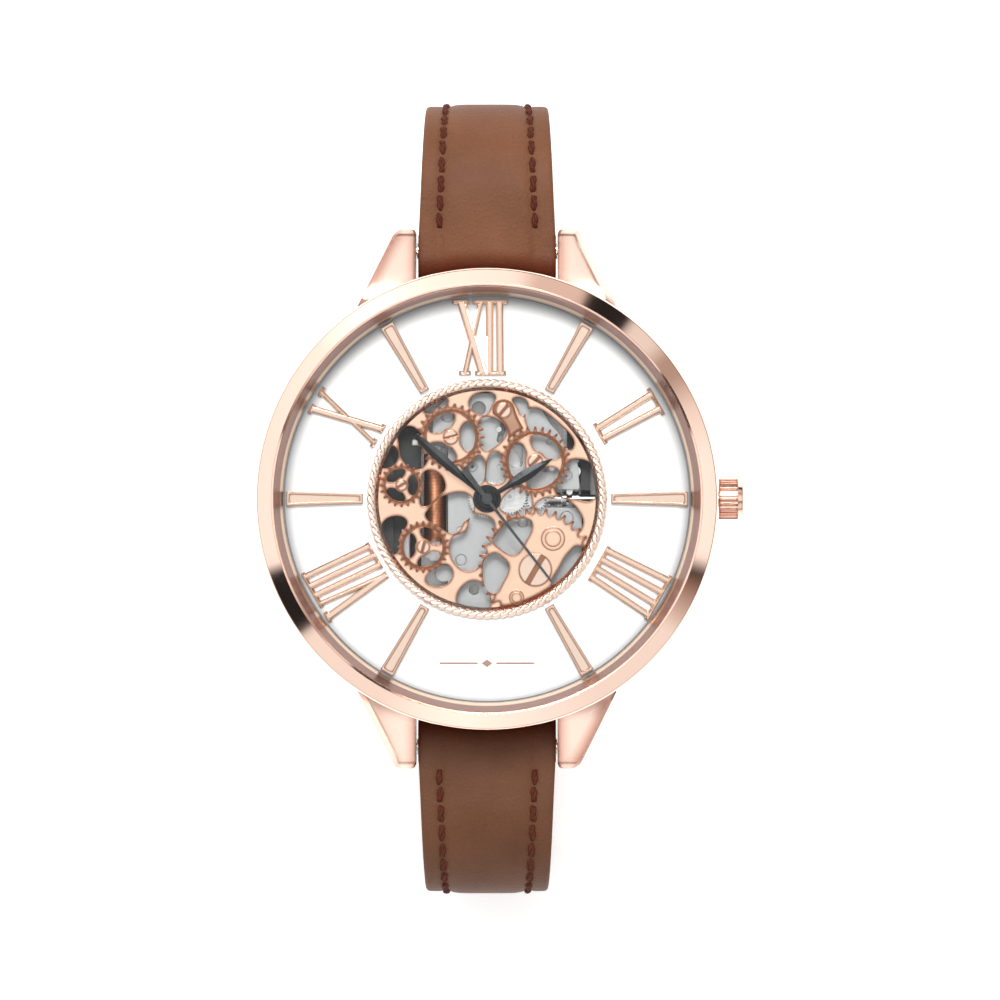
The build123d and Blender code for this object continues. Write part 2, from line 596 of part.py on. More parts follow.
with BuildPart() as skeleton_plate:
    with BuildSketch(Plane.XY.offset(DIAL_BOTTOM)) as plate_outline:
        Circle(PLATE_R)
        opening([(-5.39, 7.53), (-5.1, 8.08), (-4.38, 8.37), (-3.7, 8.64), (-3.28, 8.34),
                 (-3.54, 7.8), (-4.29, 7.41), (-4.97, 7.16)])
        opening([(-1.52, 8.17), (-1.18, 8.74), (-0.42, 9.01), (0.34, 8.98), (0.72, 8.67),
                 (0.42, 7.97), (0, 7.19), (-0.62, 7.12), (-1.23, 7.49)])
        opening([(2.22, 8.5), (2.78, 8.59), (3.32, 8.3), (3.49, 7.8), (3.32, 7.24), (2.91, 7.06),
                 (2.64, 7.66)])
        opening([(3.54, 7.58), (4.13, 7.71), (4.83, 7.41), (5.73, 6.69), (6.57, 5.93),
                 (7.16, 5.27), (7.36, 4.6), (7.07, 4.13), (6.48, 4.29), (5.89, 4.97),
                 (5.05, 5.3), (4.04, 5.39), (3.45, 6.15), (3.25, 6.9)])
        opening([(-0.64, 6.62), (0.17, 6.94), (1.13, 6.52), (1.67, 5.69), (1.23, 4.88),
                 (0.51, 4.29), (-0.17, 4.04), (-0.67, 4.8), (-0.84, 5.81)])
        opening([(-0.08, 1.94), (0.03, 3.03), (0.45, 3.92), (0.99, 3.96), (1.3, 3.28),
                 (1.47, 2.44), (1.63, 1.85), (1.35, 1.38), (0.62, 1.23), (0.05, 1.43)])
        opening([(-2.02, 2.58), (-1.35, 3.12), (-0.62, 3.69), (-0.25, 3.28), (-0.15, 2.27),
                 (-0.42, 1.35), (-1.01, 1.18), (-1.68, 1.85)])
        opening([(-7.53, 5.05), (-7.36, 5.81), (-6.79, 6.15), (-6.11, 6.01), (-5.47, 5.34),
                 (-4.97, 4.46), (-4.97, 3.45), (-5.47, 2.64), (-6.11, 2.48), (-6.79, 2.85),
                 (-7.33, 3.7)])
        opening([(-9.09, 3.28), (-8.98, 3.96), (-8.5, 4.43), (-7.91, 4.46), (-7.53, 4.04),
                 (-7.56, 3.28), (-8.08, 2.74), (-8.76, 2.61)])
        opening([(6.99, 3.28), (8.08, 3.32), (8.87, 2.91), (9.13, 1.68), (9.23, 0.34),
                 (8.81, -0.17), (8, -0.17), (6.99, 0.05), (5.89, 0.42), (5.73, 1.26), (6.32, 2.27)])
        opening([(4.13, -0.45), (4.63, -0.05), (5.47, 0.15), (6.32, 0.08), (7.19, -0.37),
                 (7.86, -1.18), (8.13, -1.97), (7.75, -2.78), (6.48, -2.44), (4.97, -1.77)])
        opening([(1.09, -0.67), (1.31, 0), (1.85, 0.59), (2.61, 1.01), (3.54, 0.76),
                 (3.79, -0.25), (3.65, -1.09), (2.78, -1.47), (1.94, -1.4), (1.35, -1.09)])
        opening([(-5.51, 2.02), (-4.97, 2.44), (-4.13, 2.22), (-3.59, 1.47), (-3.59, 0.76),
                 (-4.21, 0.17), (-4.97, -0.56), (-5.51, -0.59), (-5.68, -0.08), (-5.42, 0.76)])
        opening([(-5.17, -1.18), (-4.63, -0.51), (-3.82, 0.17), (-2.95, 0.49), (-1.94, 0.54),
                 (-1.3, 0.12), (-1.13, -0.93), (-1.43, -1.57), (-1.97, -2.02), (-2.27, -2.61),
                 (-3.12, -2.91), (-3.87, -2.48), (-4.72, -2.02)])
        opening([(-9.04, -2.81), (-8.87, -2.14), (-8.42, -1.65), (-7.75, -1.45), (-7.07, -1.57),
                 (-6.75, -1.97), (-6.99, -2.53), (-7.36, -3.03), (-7.41, -3.96), (-7.75, -4.68),
                 (-8.3, -4.51), (-8.79, -3.82)])
        opening([(-1.13, -1.2), (-0.25, -1.4), (0.42, -1.68), (0.67, -2.61), (0.25, -3.79),
                 (-0.25, -4.97), (-0.84, -5.89), (-1.73, -6.11), (-2.53, -5.68), (-3.05, -4.83),
                 (-3.15, -3.82), (-2.86, -3.22), (-2.02, -2.88), (-1.57, -2.24)])
        opening([(-5.2, -6.82), (-4.97, -6.32), (-4.29, -5.89), (-3.62, -5.51), (-3, -5.89),
                 (-2.9, -6.48), (-3.15, -6.99), (-3.87, -7.41), (-4.72, -7.33)])
        opening([(-2.56, -8.67), (-2.44, -7.91), (-1.97, -7.29), (-1.18, -6.9), (-0.42, -7.16),
                 (0.08, -8), (0.34, -8.93), (-0.17, -9.38), (-1.09, -9.38), (-2.1, -9.14)])
        # the plate is solid again under each applied wheel, then opened between the spokes
        for centre, tip, rim, hub, turn, width, teeth in SPOKED:
            with Locations(centre):
                Circle(tip * (teeth / 2 - 1.2) / (teeth / 2 + 1))
            spoke_windows(centre, hub, rim, turn, width, 0.34 * (rim - hub))
        with Locations(WHEEL_E[0]):
            Circle(WHEEL_E[1] * (WHEEL_E[6] / 2 - 1.2) / (WHEEL_E[6] / 2 + 1))
        Circle(PLATE_R, mode=Mode.INTERSECT)
        for points in GREAT_WINDOWS:
            opening(points)
        Circle(0.78, mode=Mode.SUBTRACT)
    extrude(amount=PLATE_TOP - DIAL_BOTTOM)
    # raised hub of the centre
    ring(0.78, 1.05, PLATE_TOP - 0.01, PLATE_TOP + 0.18)


def dial_wheel(wheel):
    """One applied wheel: toothed disc with a sunk web and three windows."""
    centre, tip, rim, hub, turn, width, teeth = wheel
    module = tip / (teeth / 2 + 1)
    gear_layer(centre, PLATE_TOP, WHEEL_TOP - PLATE_TOP, teeth, module)
    with BuildSketch(Plane.XY.offset(PLATE_TOP)) as windows:
        with Locations(centre):
            Circle(rim)
            Circle(hub, mode=Mode.SUBTRACT)
            for i in range(3):
                angle = turn + 120 * i
                with Locations((rim / 2 * cos(radians(angle)), rim / 2 * sin(radians(angle)))):
                    Rectangle(rim * 1.1, width, rotation=angle, mode=Mode.SUBTRACT)
        fillet(windows.vertices(), radius=0.34 * (rim - hub))
    extrude(windows.sketch, amount=1.0, mode=Mode.SUBTRACT)
    ring(rim, rim + 0.22, WHEEL_TOP - 0.08, WHEEL_TOP, mode=Mode.SUBTRACT, centre=centre)


with BuildPart() as dial_wheel_a:
    dial_wheel(WHEEL_A)

with BuildPart() as dial_wheel_b:
    dial_wheel(WHEEL_B)

with BuildPart() as dial_wheel_c:
    dial_wheel(WHEEL_C)

with BuildPart() as dial_wheel_d:
    dial_wheel(WHEEL_D)

with BuildPart() as dial_wheel_e:
    gear_layer(WHEEL_E[0], PLATE_TOP, WHEEL_TOP - PLATE_TOP, WHEEL_E[6],
               WHEEL_E[1] / (WHEEL_E[6] / 2 + 1))
    with BuildSketch(Plane.XY.offset(PLATE_TOP)) as great_windows:
        Circle(20)
        Circle(9.15, mode=Mode.SUBTRACT)
    extrude(great_windows.sketch, amount=1.0, mode=Mode.SUBTRACT)
    with BuildSketch(Plane.XY.offset(PLATE_TOP)) as great_cuts:
        for points in GREAT_WINDOWS:
            with BuildLine():
                Spline(*points, periodic=True)
            make_face()
    extrude(great_cuts.sketch, amount=1.0, mode=Mode.SUBTRACT)
    # stepped bosses on the great wheel
    for centre, radius in (((5.58, -3.37), 1.0), ((2.5, -8.35), 0.62)):
        post(centre, radius, WHEEL_TOP, WHEEL_TOP + 0.12)
        post(centre, radius * 0.68, WHEEL_TOP + 0.12, WHEEL_TOP + 0.22)

with BuildPart() as dial_bridge:
    with BuildSketch(Plane.XY.offset(WHEEL_TOP)):
        with BuildLine():
            ThreePointArc((0.49, 7.2), (1.1, 8.37), (2.3, 7.74))
            Spline((2.3, 7.74), (2.66, 6.75), (3.1, 5.95))
            Spline((3.1, 5.95), (2.5, 5.6), (1.75, 4.95))
            Spline((1.75, 4.95), (1.72, 5.8), (1.3, 6.5), (0.49, 7.2))
        make_face()
    extrude(amount=BRIDGE_TOP - WHEEL_TOP)
    with BuildSketch(Plane.XY.offset(PLATE_TOP)):
        with Locations((1.4, 7.6)):
            Circle(0.35)
    extrude(amount=BRIDGE_TOP - PLATE_TOP - 0.05)

with BuildPart() as dial_screws:
    slotted_head(WHEEL_A[0], 0.64, WHEEL_TOP, WHEEL_TOP + 0.25, 15)
    slotted_head(WHEEL_B[0], 0.64, WHEEL_TOP, WHEEL_TOP + 0.25, 45)
    slotted_head(WHEEL_C[0], 0.5, WHEEL_TOP, WHEEL_TOP + 0.25, 30)
    slotted_head(WHEEL_D[0], 0.56, WHEEL_TOP, WHEEL_TOP + 0.25, 75)
    slotted_head((4.08, -6.0), 1.4, WHEEL_TOP, WHEEL_TOP + 0.25, 60)
    slotted_head((1.4, 7.48), 0.66, BRIDGE_TOP, BRIDGE_TOP + 0.2, 50)

# ---------------------------------------------------------------- hour marks
with BuildPart() as hour_batons:
    for hour in (1, 3, 5, 7, 9, 11):
        corners = [(-0.41, 10.5), (0.41, 10.5), (0.6, 16.95), (-0.6, 16.95)]
        well = [(-0.2, 10.75), (0.2, 10.75), (0.38, 16.7), (-0.38, 16.7)]
        with BuildSketch(Plane.XY.offset(DIAL_TOP)) as baton:
            Polygon(*[turned(p, 30 * hour) for p in corners], align=None)
        extrude(baton.sketch, amount=MARK_HEIGHT)
        with BuildSketch(Plane.XY.offset(DIAL_TOP + MARK_HEIGHT - 0.12)) as trough:
            Polygon(*[turned(p, 30 * hour) for p in well], align=None)
        extrude(trough.sketch, amount=0.12, mode=Mode.SUBTRACT)


def numeral(hour, strokes):
    """A raised numeral of bevelled strokes, each four (across, outward) corner points."""
    for corners in strokes:
        for low, high, taper in ((0, MARK_HEIGHT - MARK_BEVEL, 0),
                                 (MARK_HEIGHT - MARK_BEVEL, MARK_HEIGHT, 45)):
            with BuildSketch(Plane.XY.offset(DIAL_TOP + low)) as face:
                Polygon(*[turned(p, 30 * hour) for p in corners], align=None)
            extrude(face.sketch, amount=high - low, taper=taper)


def stroke(low, high, x_low, x_high, width):
    """A straight stroke between two radii, with its middle line at x_low then x_high."""
    return [(x_low - width / 2, low), (x_low + width / 2, low),
            (x_high + width / 2, high), (x_high - width / 2, high)]


def serif(radius, left, right):
    """A serif bar across a numeral's end."""
    return [(left, radius), (right, radius), (right, radius + 0.32), (left, radius + 0.32)]


with BuildPart() as hour_numerals:
    numeral(12, [
        stroke(10.47, 16.79, -0.32, -2.22, 0.74), stroke(10.47, 16.79, -1.88, -0.5, 0.46),
        stroke(10.47, 16.79, 0.22, 0.22, 0.6), stroke(10.47, 16.79, 1.12, 1.06, 0.6),
        serif(16.47, -2.92, -1.52), serif(16.47, -1.2, 1.77),
        serif(10.47, -2.36, -1.38), serif(10.47, -1.0, 1.6),
    ])
    numeral(2, [
        stroke(10.9, 16.65, -0.5, -0.72, 0.55), stroke(10.9, 16.65, 0.5, 0.72, 0.55),
        serif(16.32, -1.27, 1.27), serif(10.9, -0.97, 0.97),
    ])
    numeral(4, [
        stroke(10.8, 16.9, 0.87 * i - 1.305, 1.14 * i - 1.71, 0.55) for i in range(4)
    ] + [serif(16.57, -2.13, 2.13), serif(10.8, -1.66, 1.66)])
    numeral(8, [
        stroke(10.5, 16.8, -1.3, -1.95, 0.62), stroke(10.5, 16.8, -1.3, -0.6, 0.4),
        stroke(10.5, 16.8, -0.3, 0.2, 0.52), stroke(10.5, 16.8, 0.62, 1.1, 0.52),
        stroke(10.5, 16.8, 1.5, 2.0, 0.52),
        serif(16.47, -2.4, -1.45), serif(16.47, -0.95, 2.35), serif(10.5, -0.62, 1.85),
    ])
    numeral(10, [
        stroke(10.5, 16.8, 0.7, -0.85, 0.62), stroke(10.5, 16.8, -0.7, 0.85, 0.4),
        serif(16.47, -1.27, -0.42), serif(16.47, 0.42, 1.27),
        serif(10.5, -1.1, -0.3), serif(10.5, 0.3, 1.1),
    ])

with BuildPart() as dial_ornament:
    with BuildSketch(Plane.XY.offset(DIAL_TOP)):
        with Locations((0, -13.9)):
            Polygon((-0.45, 0), (0, -0.32), (0.45, 0), (0, 0.32), align=None)
        with Locations((-2.4, -13.9), (2.4, -13.9)):
            Rectangle(3.2, 0.14)
    extrude(amount=0.03)


# ---------------------------------------------------------------- hands
def leaf(angle, low, length, width, neck, waist_at, thick, hub, bore):
    """A leaf hand: a hub, a narrow neck and two long curves that meet at the point."""
    with BuildSketch(Plane.XY.offset(low)) as blade:
        with BuildLine():
            Spline(turned((-neck / 2, 0), angle), turned((-neck / 2, hub * 1.35), angle),
                   turned((-width / 2, waist_at), angle), turned((-0.04, length), angle))
            Line(turned((-0.04, length), angle), turned((0.04, length), angle))
            Spline(turned((0.04, length), angle), turned((width / 2, waist_at), angle),
                   turned((neck / 2, hub * 1.35), angle), turned((neck / 2, 0), angle))
            Line(turned((neck / 2, 0), angle), turned((-neck / 2, 0), angle))
        make_face()
        Circle(hub)
    extrude(blade.sketch, amount=thick)
    post((0, 0), bore, low - 1, low + thick + 1, mode=Mode.SUBTRACT)


with BuildPart() as hour_hand:
    leaf(HOUR_ANGLE, 47.3, 6.46, 0.98, 0.42, 3.7, 0.16, 1.2, 0.621)

with BuildPart() as minute_hand:
    leaf(MINUTE_ANGLE, 47.7, 9.0, 0.88, 0.36, 5.2, 0.14, 0.78, 0.381)

with BuildPart() as seconds_hand:
    with BuildSketch(Plane.XY.offset(48.05)) as needle:
        Polygon(*[turned(p, SECONDS_ANGLE) for p in (
            (-0.14, 0), (-0.09, 8.86), (0.09, 8.86), (0.14, 0))], align=None)
        Polygon(*[turned(p, SECONDS_ANGLE) for p in (
            (-0.13, 0), (0.13, 0), (0.285, -3.1), (-0.285, -3.1))], align=None)
        Circle(0.45)
    extrude(needle.sketch, amount=0.1)
    post((0, 0), 0.151, 47.0, 49, mode=Mode.SUBTRACT)
    post((0, 0), 0.29, 48.15, 48.3)

# ---------------------------------------------------------------- strap
with BuildPart() as spring_bars:
    for sy in (-1, 1):
        for x, length, radius in ((-5.95, 11.9, BAR_R), (-6.85, 13.7, 0.4)):
            with BuildSketch(Plane.YZ.offset(x)) as bar:
                with Locations((sy * BAR_Y, BAR_Z)):
                    Circle(radius)
            extrude(bar.sketch, amount=length)


def strap_section(plane, width, low, high, crown):
    """A strap cross-section: flat at the low offset, padded between its two stitch lines."""
    side = width / 2
    with BuildSketch(plane, mode=Mode.PRIVATE) as section:
        with BuildLine():
            Polyline((-side, high - crown), (-side, low), (side, low), (side, high - crown))
            if crown:
                Spline((side, high - crown), (side - 0.5, high - 0.55 * crown),
                       (side - 1.7, high - 0.42 * crown), (side - 3.0, high),
                       tangents=((-0.3, 1), (-1, 0)))
                Line((side - 3.0, high), (3.0 - side, high))
                Spline((3.0 - side, high), (1.7 - side, high - 0.42 * crown),
                       (0.5 - side, high - 0.55 * crown), (-side, high - crown),
                       tangents=((-1, 0), (-0.3, -1)))
            else:
                Line((side, high), (-side, high))
        make_face()
    return section.sketch


def strap_plane(side, y, z, along_y, along_z):
    """A plane across the strap's path: X along the strap's width and Y to its outer face."""
    return Plane(origin=(0, side * y, z), x_dir=(-side, 0, 0), z_dir=(0, side * along_y, along_z))


CURL = radians(CURL_ANGLE)
CURL_END = (CURL_START_Y - CURL_R * sin(CURL), FOOT_Z + CURL_R * (1 - cos(CURL)))
STRAP_END = (CURL_END[0] - END_LENGTH * cos(CURL), CURL_END[1] + END_LENGTH * sin(CURL))
BUCKLE_BAR = (STRAP_END[0] - 1.0 * cos(CURL), STRAP_END[1] + 1.0 * sin(CURL))
CORNER_MID = CORNER_R * (1 - sqrt(0.5))
BEND_MID = BEND_R * (1 - sqrt(0.5))
TOP_Z = BAR_Z + 0.3


def leg_lines(side):
    """The strap's path from the spring bar down to the floor, added to the open line."""
    Line((side * BAR_Y, TOP_Z), (side * (LEG_Y - BEND_R), TOP_Z))
    ThreePointArc((side * (LEG_Y - BEND_R), TOP_Z),
                  (side * (LEG_Y - BEND_MID), TOP_Z - BEND_MID),
                  (side * LEG_Y, TOP_Z - BEND_R))
    Line((side * LEG_Y, TOP_Z - BEND_R), (side * LEG_Y, FOOT_Z + CORNER_R))
    ThreePointArc((side * LEG_Y, FOOT_Z + CORNER_R),
                  (side * (LEG_Y - CORNER_MID), FOOT_Z + CORNER_MID),
                  (side * (LEG_Y - CORNER_R), FOOT_Z))


with BuildLine(Plane.YZ) as path_12:
    leg_lines(1)
    Line((LEG_Y - CORNER_R, FOOT_Z), (CURL_START_Y, FOOT_Z))
    ThreePointArc((CURL_START_Y, FOOT_Z),
                  (CURL_START_Y - CURL_R * sin(CURL / 2), FOOT_Z + CURL_R * (1 - cos(CURL / 2))),
                  CURL_END)
    Line(CURL_END, STRAP_END)

with BuildLine(Plane.YZ) as path_6:
    leg_lines(-1)
    Line((CORNER_R - LEG_Y, FOOT_Z), (TAIL_Y, FOOT_Z))


def strap_body(side, path, end, end_along, low, high, crown):
    """A layer of the strap swept along its path, narrowing from the lugs to its free end."""
    sections = []
    for y, z, along, width in (
        (BAR_Y, TOP_Z, (1.0, 0), STRAP_W),
        (LEG_Y, TOP_Z - BEND_R, (0, -1.0), STRAP_MID_W),
        (end[0], end[1], end_along, STRAP_END_W),
    ):
        sections.append(strap_section(strap_plane(side, y, z, *along), width, low, high, crown))
    sweep(sections, path=path.line, multisection=True)


def across(plane, radius, half_length, mode=Mode.ADD):
    """A round bar along the watch's X axis, centred on a point of the YZ plane."""
    with BuildSketch(Plane.YZ.offset(-half_length)) as round_bar:
        with Locations(plane):
            Circle(radius)
    extrude(round_bar.sketch, amount=2 * half_length, mode=mode)


with BuildPart() as strap_nose:
    # leather between the bar and the case, hollowed to follow the case as the strap swings
    with BuildSketch(Plane.XY.offset(BAR_Z)):
        with BuildLine():
            nose_half = STRAP_W / 2 - 0.05
            nose_y = sqrt(NOSE_R ** 2 - nose_half ** 2)
            Line((-nose_half, nose_y), (-nose_half, BAR_Y))
            Line((-nose_half, BAR_Y), (nose_half, BAR_Y))
            Line((nose_half, BAR_Y), (nose_half, nose_y))
            ThreePointArc((nose_half, nose_y), (0, NOSE_R), (-nose_half, nose_y))
        make_face()
    revolve(axis=Axis((0, BAR_Y, BAR_Z), (1, 0, 0)))
    with BuildSketch(Plane.YZ.offset(-8)):
        with Locations((BAR_Y - 2, BAR_Z)):
            Rectangle(4, 3)
    extrude(amount=16, mode=Mode.INTERSECT)
    across((BAR_Y, BAR_Z), BAR_R + 0.04, 8, mode=Mode.SUBTRACT)

def pressed_flat():
    """Takes off the padding that would reach below the table, where the strap stands."""
    with BuildSketch(Plane.XY.offset(-4)) as table:
        Rectangle(30, 90)
    extrude(table.sketch, amount=4, mode=Mode.SUBTRACT)


with BuildPart() as strap_12:
    strap_body(1, path_12, STRAP_END, (-cos(CURL), sin(CURL)), -0.2, STRAP_T / 2, 0.9)
    across((BAR_Y, BAR_Z), 1.5, STRAP_W / 2 - 0.05)
    add(strap_nose.part)
    across(BUCKLE_BAR, 1.3, STRAP_END_W / 2)
    across((BAR_Y, BAR_Z), BAR_R + 0.04, 8, mode=Mode.SUBTRACT)
    across(BUCKLE_BAR, 0.54, 8, mode=Mode.SUBTRACT)
    pressed_flat()
    # slot for the tongue
    across(BUCKLE_BAR, 2.0, 0.85, mode=Mode.SUBTRACT)

with BuildPart() as strap_12_lining:
    strap_body(1, path_12, STRAP_END, (-cos(CURL), sin(CURL)), -STRAP_T / 2, -0.21, 0.0)
    across((BAR_Y, BAR_Z), 1.52, 8, mode=Mode.SUBTRACT)
    across(BUCKLE_BAR, 1.32, 8, mode=Mode.SUBTRACT)
    across(BUCKLE_BAR, 2.0, 0.85, mode=Mode.SUBTRACT)

with BuildPart() as strap_6:
    strap_body(-1, path_6, (-TAIL_Y, FOOT_Z), (-1.0, 0), -0.2, STRAP_T / 2, 0.9)
    across((-BAR_Y, BAR_Z), 1.5, STRAP_W / 2 - 0.05)
    add(strap_nose.part.mirror(Plane.XZ))
    across((-BAR_Y, BAR_Z), BAR_R + 0.04, 8, mode=Mode.SUBTRACT)
    with BuildSketch(Plane.XY.offset(-1)) as tail_cut:
        with Locations((0, TAIL_Y - 2.5)):
            Rectangle(14, 7)
        with Locations((0, TAIL_Y - 6.5)):
            Circle(6.5, mode=Mode.SUBTRACT)
    extrude(tail_cut.sketch, amount=5, mode=Mode.SUBTRACT)
    for i in range(5):
        post((0, -2.0 - 5.0 * i), 0.8, -1, 4, mode=Mode.SUBTRACT)
    pressed_flat()

with BuildPart() as strap_6_lining:
    strap_body(-1, path_6, (-TAIL_Y, FOOT_Z), (-1.0, 0), -STRAP_T / 2, -0.21, 0.0)
    across((-BAR_Y, BAR_Z), 1.52, 8, mode=Mode.SUBTRACT)
    with BuildSketch(Plane.XY.offset(-1)) as lining_cut:
        with Locations((0, TAIL_Y - 2.5)):
            Rectangle(14, 7)
        with Locations((0, TAIL_Y - 6.5)):
            Circle(6.5, mode=Mode.SUBTRACT)
    extrude(lining_cut.sketch, amount=5, mode=Mode.SUBTRACT)
    for i in range(5):
        post((0, -2.0 - 5.0 * i), 0.8, -1, 4, mode=Mode.SUBTRACT)


def keeper(plane, inner_w, inner_t, length, wall):
    """A leather loop round the strap, centred on the plane and running along its normal."""
    with BuildSketch(plane) as loop:
        RectangleRounded(inner_w + 2 * wall, inner_t + 2 * wall, wall * 0.9)
        RectangleRounded(inner_w, inner_t, 0.15, mode=Mode.SUBTRACT)
    extrude(loop.sketch, amount=length / 2, both=True)


def end_plane(back):
    """A plane across the buckle end of the strap, a distance back from its last edge."""
    return strap_plane(1, STRAP_END[0] + back * cos(CURL), STRAP_END[1] - back * sin(CURL),
                       -cos(CURL), sin(CURL))


with BuildPart() as fixed_keeper:
    keeper(end_plane(1.9), STRAP_END_W + 0.16, STRAP_T + 0.06, 3.0, 0.8)

with BuildPart() as free_keeper:
    keeper(end_plane(6.6), STRAP_END_W + 0.2, STRAP_T + 0.1, 3.0, 0.8)

BUCKLE_PLANE = Plane(origin=(0, BUCKLE_BAR[0], BUCKLE_BAR[1]), x_dir=(1, 0, 0),
                     z_dir=(0, -sin(CURL), -cos(CURL)))

with BuildPart() as buckle_frame:
    with BuildSketch(BUCKLE_PLANE.offset(-0.7)) as frame_outline:
        with BuildLine():
            Line((-6.6, -1.0), (-6.8, 5.6))
            ThreePointArc((-6.8, 5.6), (-6.2, 7.3), (-4.6, 7.8))
            ThreePointArc((-4.6, 7.8), (0, 8.3), (4.6, 7.8))
            ThreePointArc((4.6, 7.8), (6.2, 7.3), (6.8, 5.6))
            Line((6.8, 5.6), (6.6, -1.0))
            Line((6.6, -1.0), (-6.6, -1.0))
        make_face()
        with Locations((0, 2.3)):
            RectangleRounded(10.3, 8.4, 0.8, mode=Mode.SUBTRACT)
        with Locations((0, -1.5)):
            Rectangle(10.3, 4.0, mode=Mode.SUBTRACT)
    extrude(frame_outline.sketch, amount=1.4)
    across(BUCKLE_BAR, 0.32, 8, mode=Mode.SUBTRACT)

with BuildPart() as buckle_bar:
    across(BUCKLE_BAR, 0.5, 5.1)
    across(BUCKLE_BAR, 0.3, 6.4)

with BuildPart() as buckle_tongue:
    across(BUCKLE_BAR, 0.95, 0.6)
    with BuildLine() as tongue_line:
        Line(BUCKLE_PLANE.from_local_coords(Vector(0, 0.6, 0.35)),
             BUCKLE_PLANE.from_local_coords(Vector(0, 8.3, 1.55)))
    with BuildSketch(Plane(origin=tongue_line.line @ 0, z_dir=tongue_line.line % 0)):
        Circle(0.5)
    sweep(path=tongue_line.line)
    across(BUCKLE_BAR, 0.54, 2, mode=Mode.SUBTRACT)

# ---------------------------------------------------------------- files
case_middle.part.label = "case_middle"
export_step(case_middle.part, "parts/case_middle.step")
bezel.part.label = "bezel"
export_step(bezel.part, "parts/bezel.step")
crystal_glass.part.label = "crystal_glass"
export_step(crystal_glass.part, "parts/crystal_glass.step")
crystal_gasket.part.label = "crystal_gasket"
export_step(crystal_gasket.part, "parts/crystal_gasket.step")
rehaut_ring.part.label = "rehaut_ring"
export_step(rehaut_ring.part, "parts/rehaut_ring.step")
case_back.part.label = "case_back"
export_step(case_back.part, "parts/case_back.step")
case_back_gasket.part.label = "case_back_gasket"
export_step(case_back_gasket.part, "parts/case_back_gasket.step")
crown_tube.part.label = "crown_tube"
export_step(crown_tube.part, "parts/crown_tube.step")
crown.part.label = "crown"
export_step(crown.part, "parts/crown.step")
crown_gasket.part.label = "crown_gasket"
export_step(crown_gasket.part, "parts/crown_gasket.step")
stem.part.label = "stem"
export_step(stem.part, "parts/stem.step")
sliding_pinion.part.label = "sliding_pinion"
export_step(sliding_pinion.part, "parts/sliding_pinion.step")
setting_lever.part.label = "setting_lever"
export_step(setting_lever.part, "parts/setting_lever.step")
setting_wheel.part.label = "setting_wheel"
export_step(setting_wheel.part, "parts/setting_wheel.step")
movement_holder.part.label = "movement_holder"
export_step(movement_holder.part, "parts/movement_holder.step")
base_frame.part.label = "base_frame"
export_step(base_frame.part, "parts/base_frame.step")
train_bridge.part.label = "train_bridge"
export_step(train_bridge.part, "parts/train_bridge.step")
lever_cover.part.label = "lever_cover"
export_step(lever_cover.part, "parts/lever_cover.step")
main_plate.part.label = "main_plate"
export_step(main_plate.part, "parts/main_plate.step")
bridge_screws.part.label = "bridge_screws"
export_step(bridge_screws.part, "parts/bridge_screws.step")
stator.part.label = "stator"
export_step(stator.part, "parts/stator.step")
coil_core.part.label = "coil_core"
export_step(coil_core.part, "parts/coil_core.step")
coil_winding.part.label = "coil_winding"
export_step(coil_winding.part, "parts/coil_winding.step")
circuit_board.part.label = "circuit_board"
export_step(circuit_board.part, "parts/circuit_board.step")
quartz_crystal.part.label = "quartz_crystal"
export_step(quartz_crystal.part, "parts/quartz_crystal.step")
battery.part.label = "battery"
export_step(battery.part, "parts/battery.step")
battery_clip.part.label = "battery_clip"
export_step(battery_clip.part, "parts/battery_clip.step")
seconds_wheel.part.label = "seconds_wheel"
export_step(seconds_wheel.part, "parts/seconds_wheel.step")
fifth_wheel.part.label = "fifth_wheel"
export_step(fifth_wheel.part, "parts/fifth_wheel.step")
third_wheel.part.label = "third_wheel"
export_step(third_wheel.part, "parts/third_wheel.step")
centre_wheel.part.label = "centre_wheel"
export_step(centre_wheel.part, "parts/centre_wheel.step")
minute_wheel.part.label = "minute_wheel"
export_step(minute_wheel.part, "parts/minute_wheel.step")
hour_wheel.part.label = "hour_wheel"
export_step(hour_wheel.part, "parts/hour_wheel.step")
rotor.part.label = "rotor"
export_step(rotor.part, "parts/rotor.step")
dial.part.label = "dial"
export_step(dial.part, "parts/dial.step")
aperture_ring.part.label = "aperture_ring"
export_step(aperture_ring.part, "parts/aperture_ring.step")
skeleton_plate.part.label = "skeleton_plate"
export_step(skeleton_plate.part, "parts/skeleton_plate.step")
dial_wheel_a.part.label = "dial_wheel_a"
export_step(dial_wheel_a.part, "parts/dial_wheel_a.step")
dial_wheel_b.part.label = "dial_wheel_b"
export_step(dial_wheel_b.part, "parts/dial_wheel_b.step")
dial_wheel_c.part.label = "dial_wheel_c"
export_step(dial_wheel_c.part, "parts/dial_wheel_c.step")
dial_wheel_d.part.label = "dial_wheel_d"
export_step(dial_wheel_d.part, "parts/dial_wheel_d.step")
dial_wheel_e.part.label = "dial_wheel_e"
export_step(dial_wheel_e.part, "parts/dial_wheel_e.step")
dial_bridge.part.label = "dial_bridge"
export_step(dial_bridge.part, "parts/dial_bridge.step")
dial_screws.part.label = "dial_screws"
export_step(dial_screws.part, "parts/dial_screws.step")
hour_batons.part.label = "hour_batons"
export_step(hour_batons.part, "parts/hour_batons.step")
hour_numerals.part.label = "hour_numerals"
export_step(hour_numerals.part, "parts/hour_numerals.step")
dial_ornament.part.label = "dial_ornament"
export_step(dial_ornament.part, "parts/dial_ornament.step")
hour_hand.part.label = "hour_hand"
export_step(hour_hand.part, "parts/hour_hand.step")
minute_hand.part.label = "minute_hand"
export_step(minute_hand.part, "parts/minute_hand.step")
seconds_hand.part.label = "seconds_hand"
export_step(seconds_hand.part, "parts/seconds_hand.step")
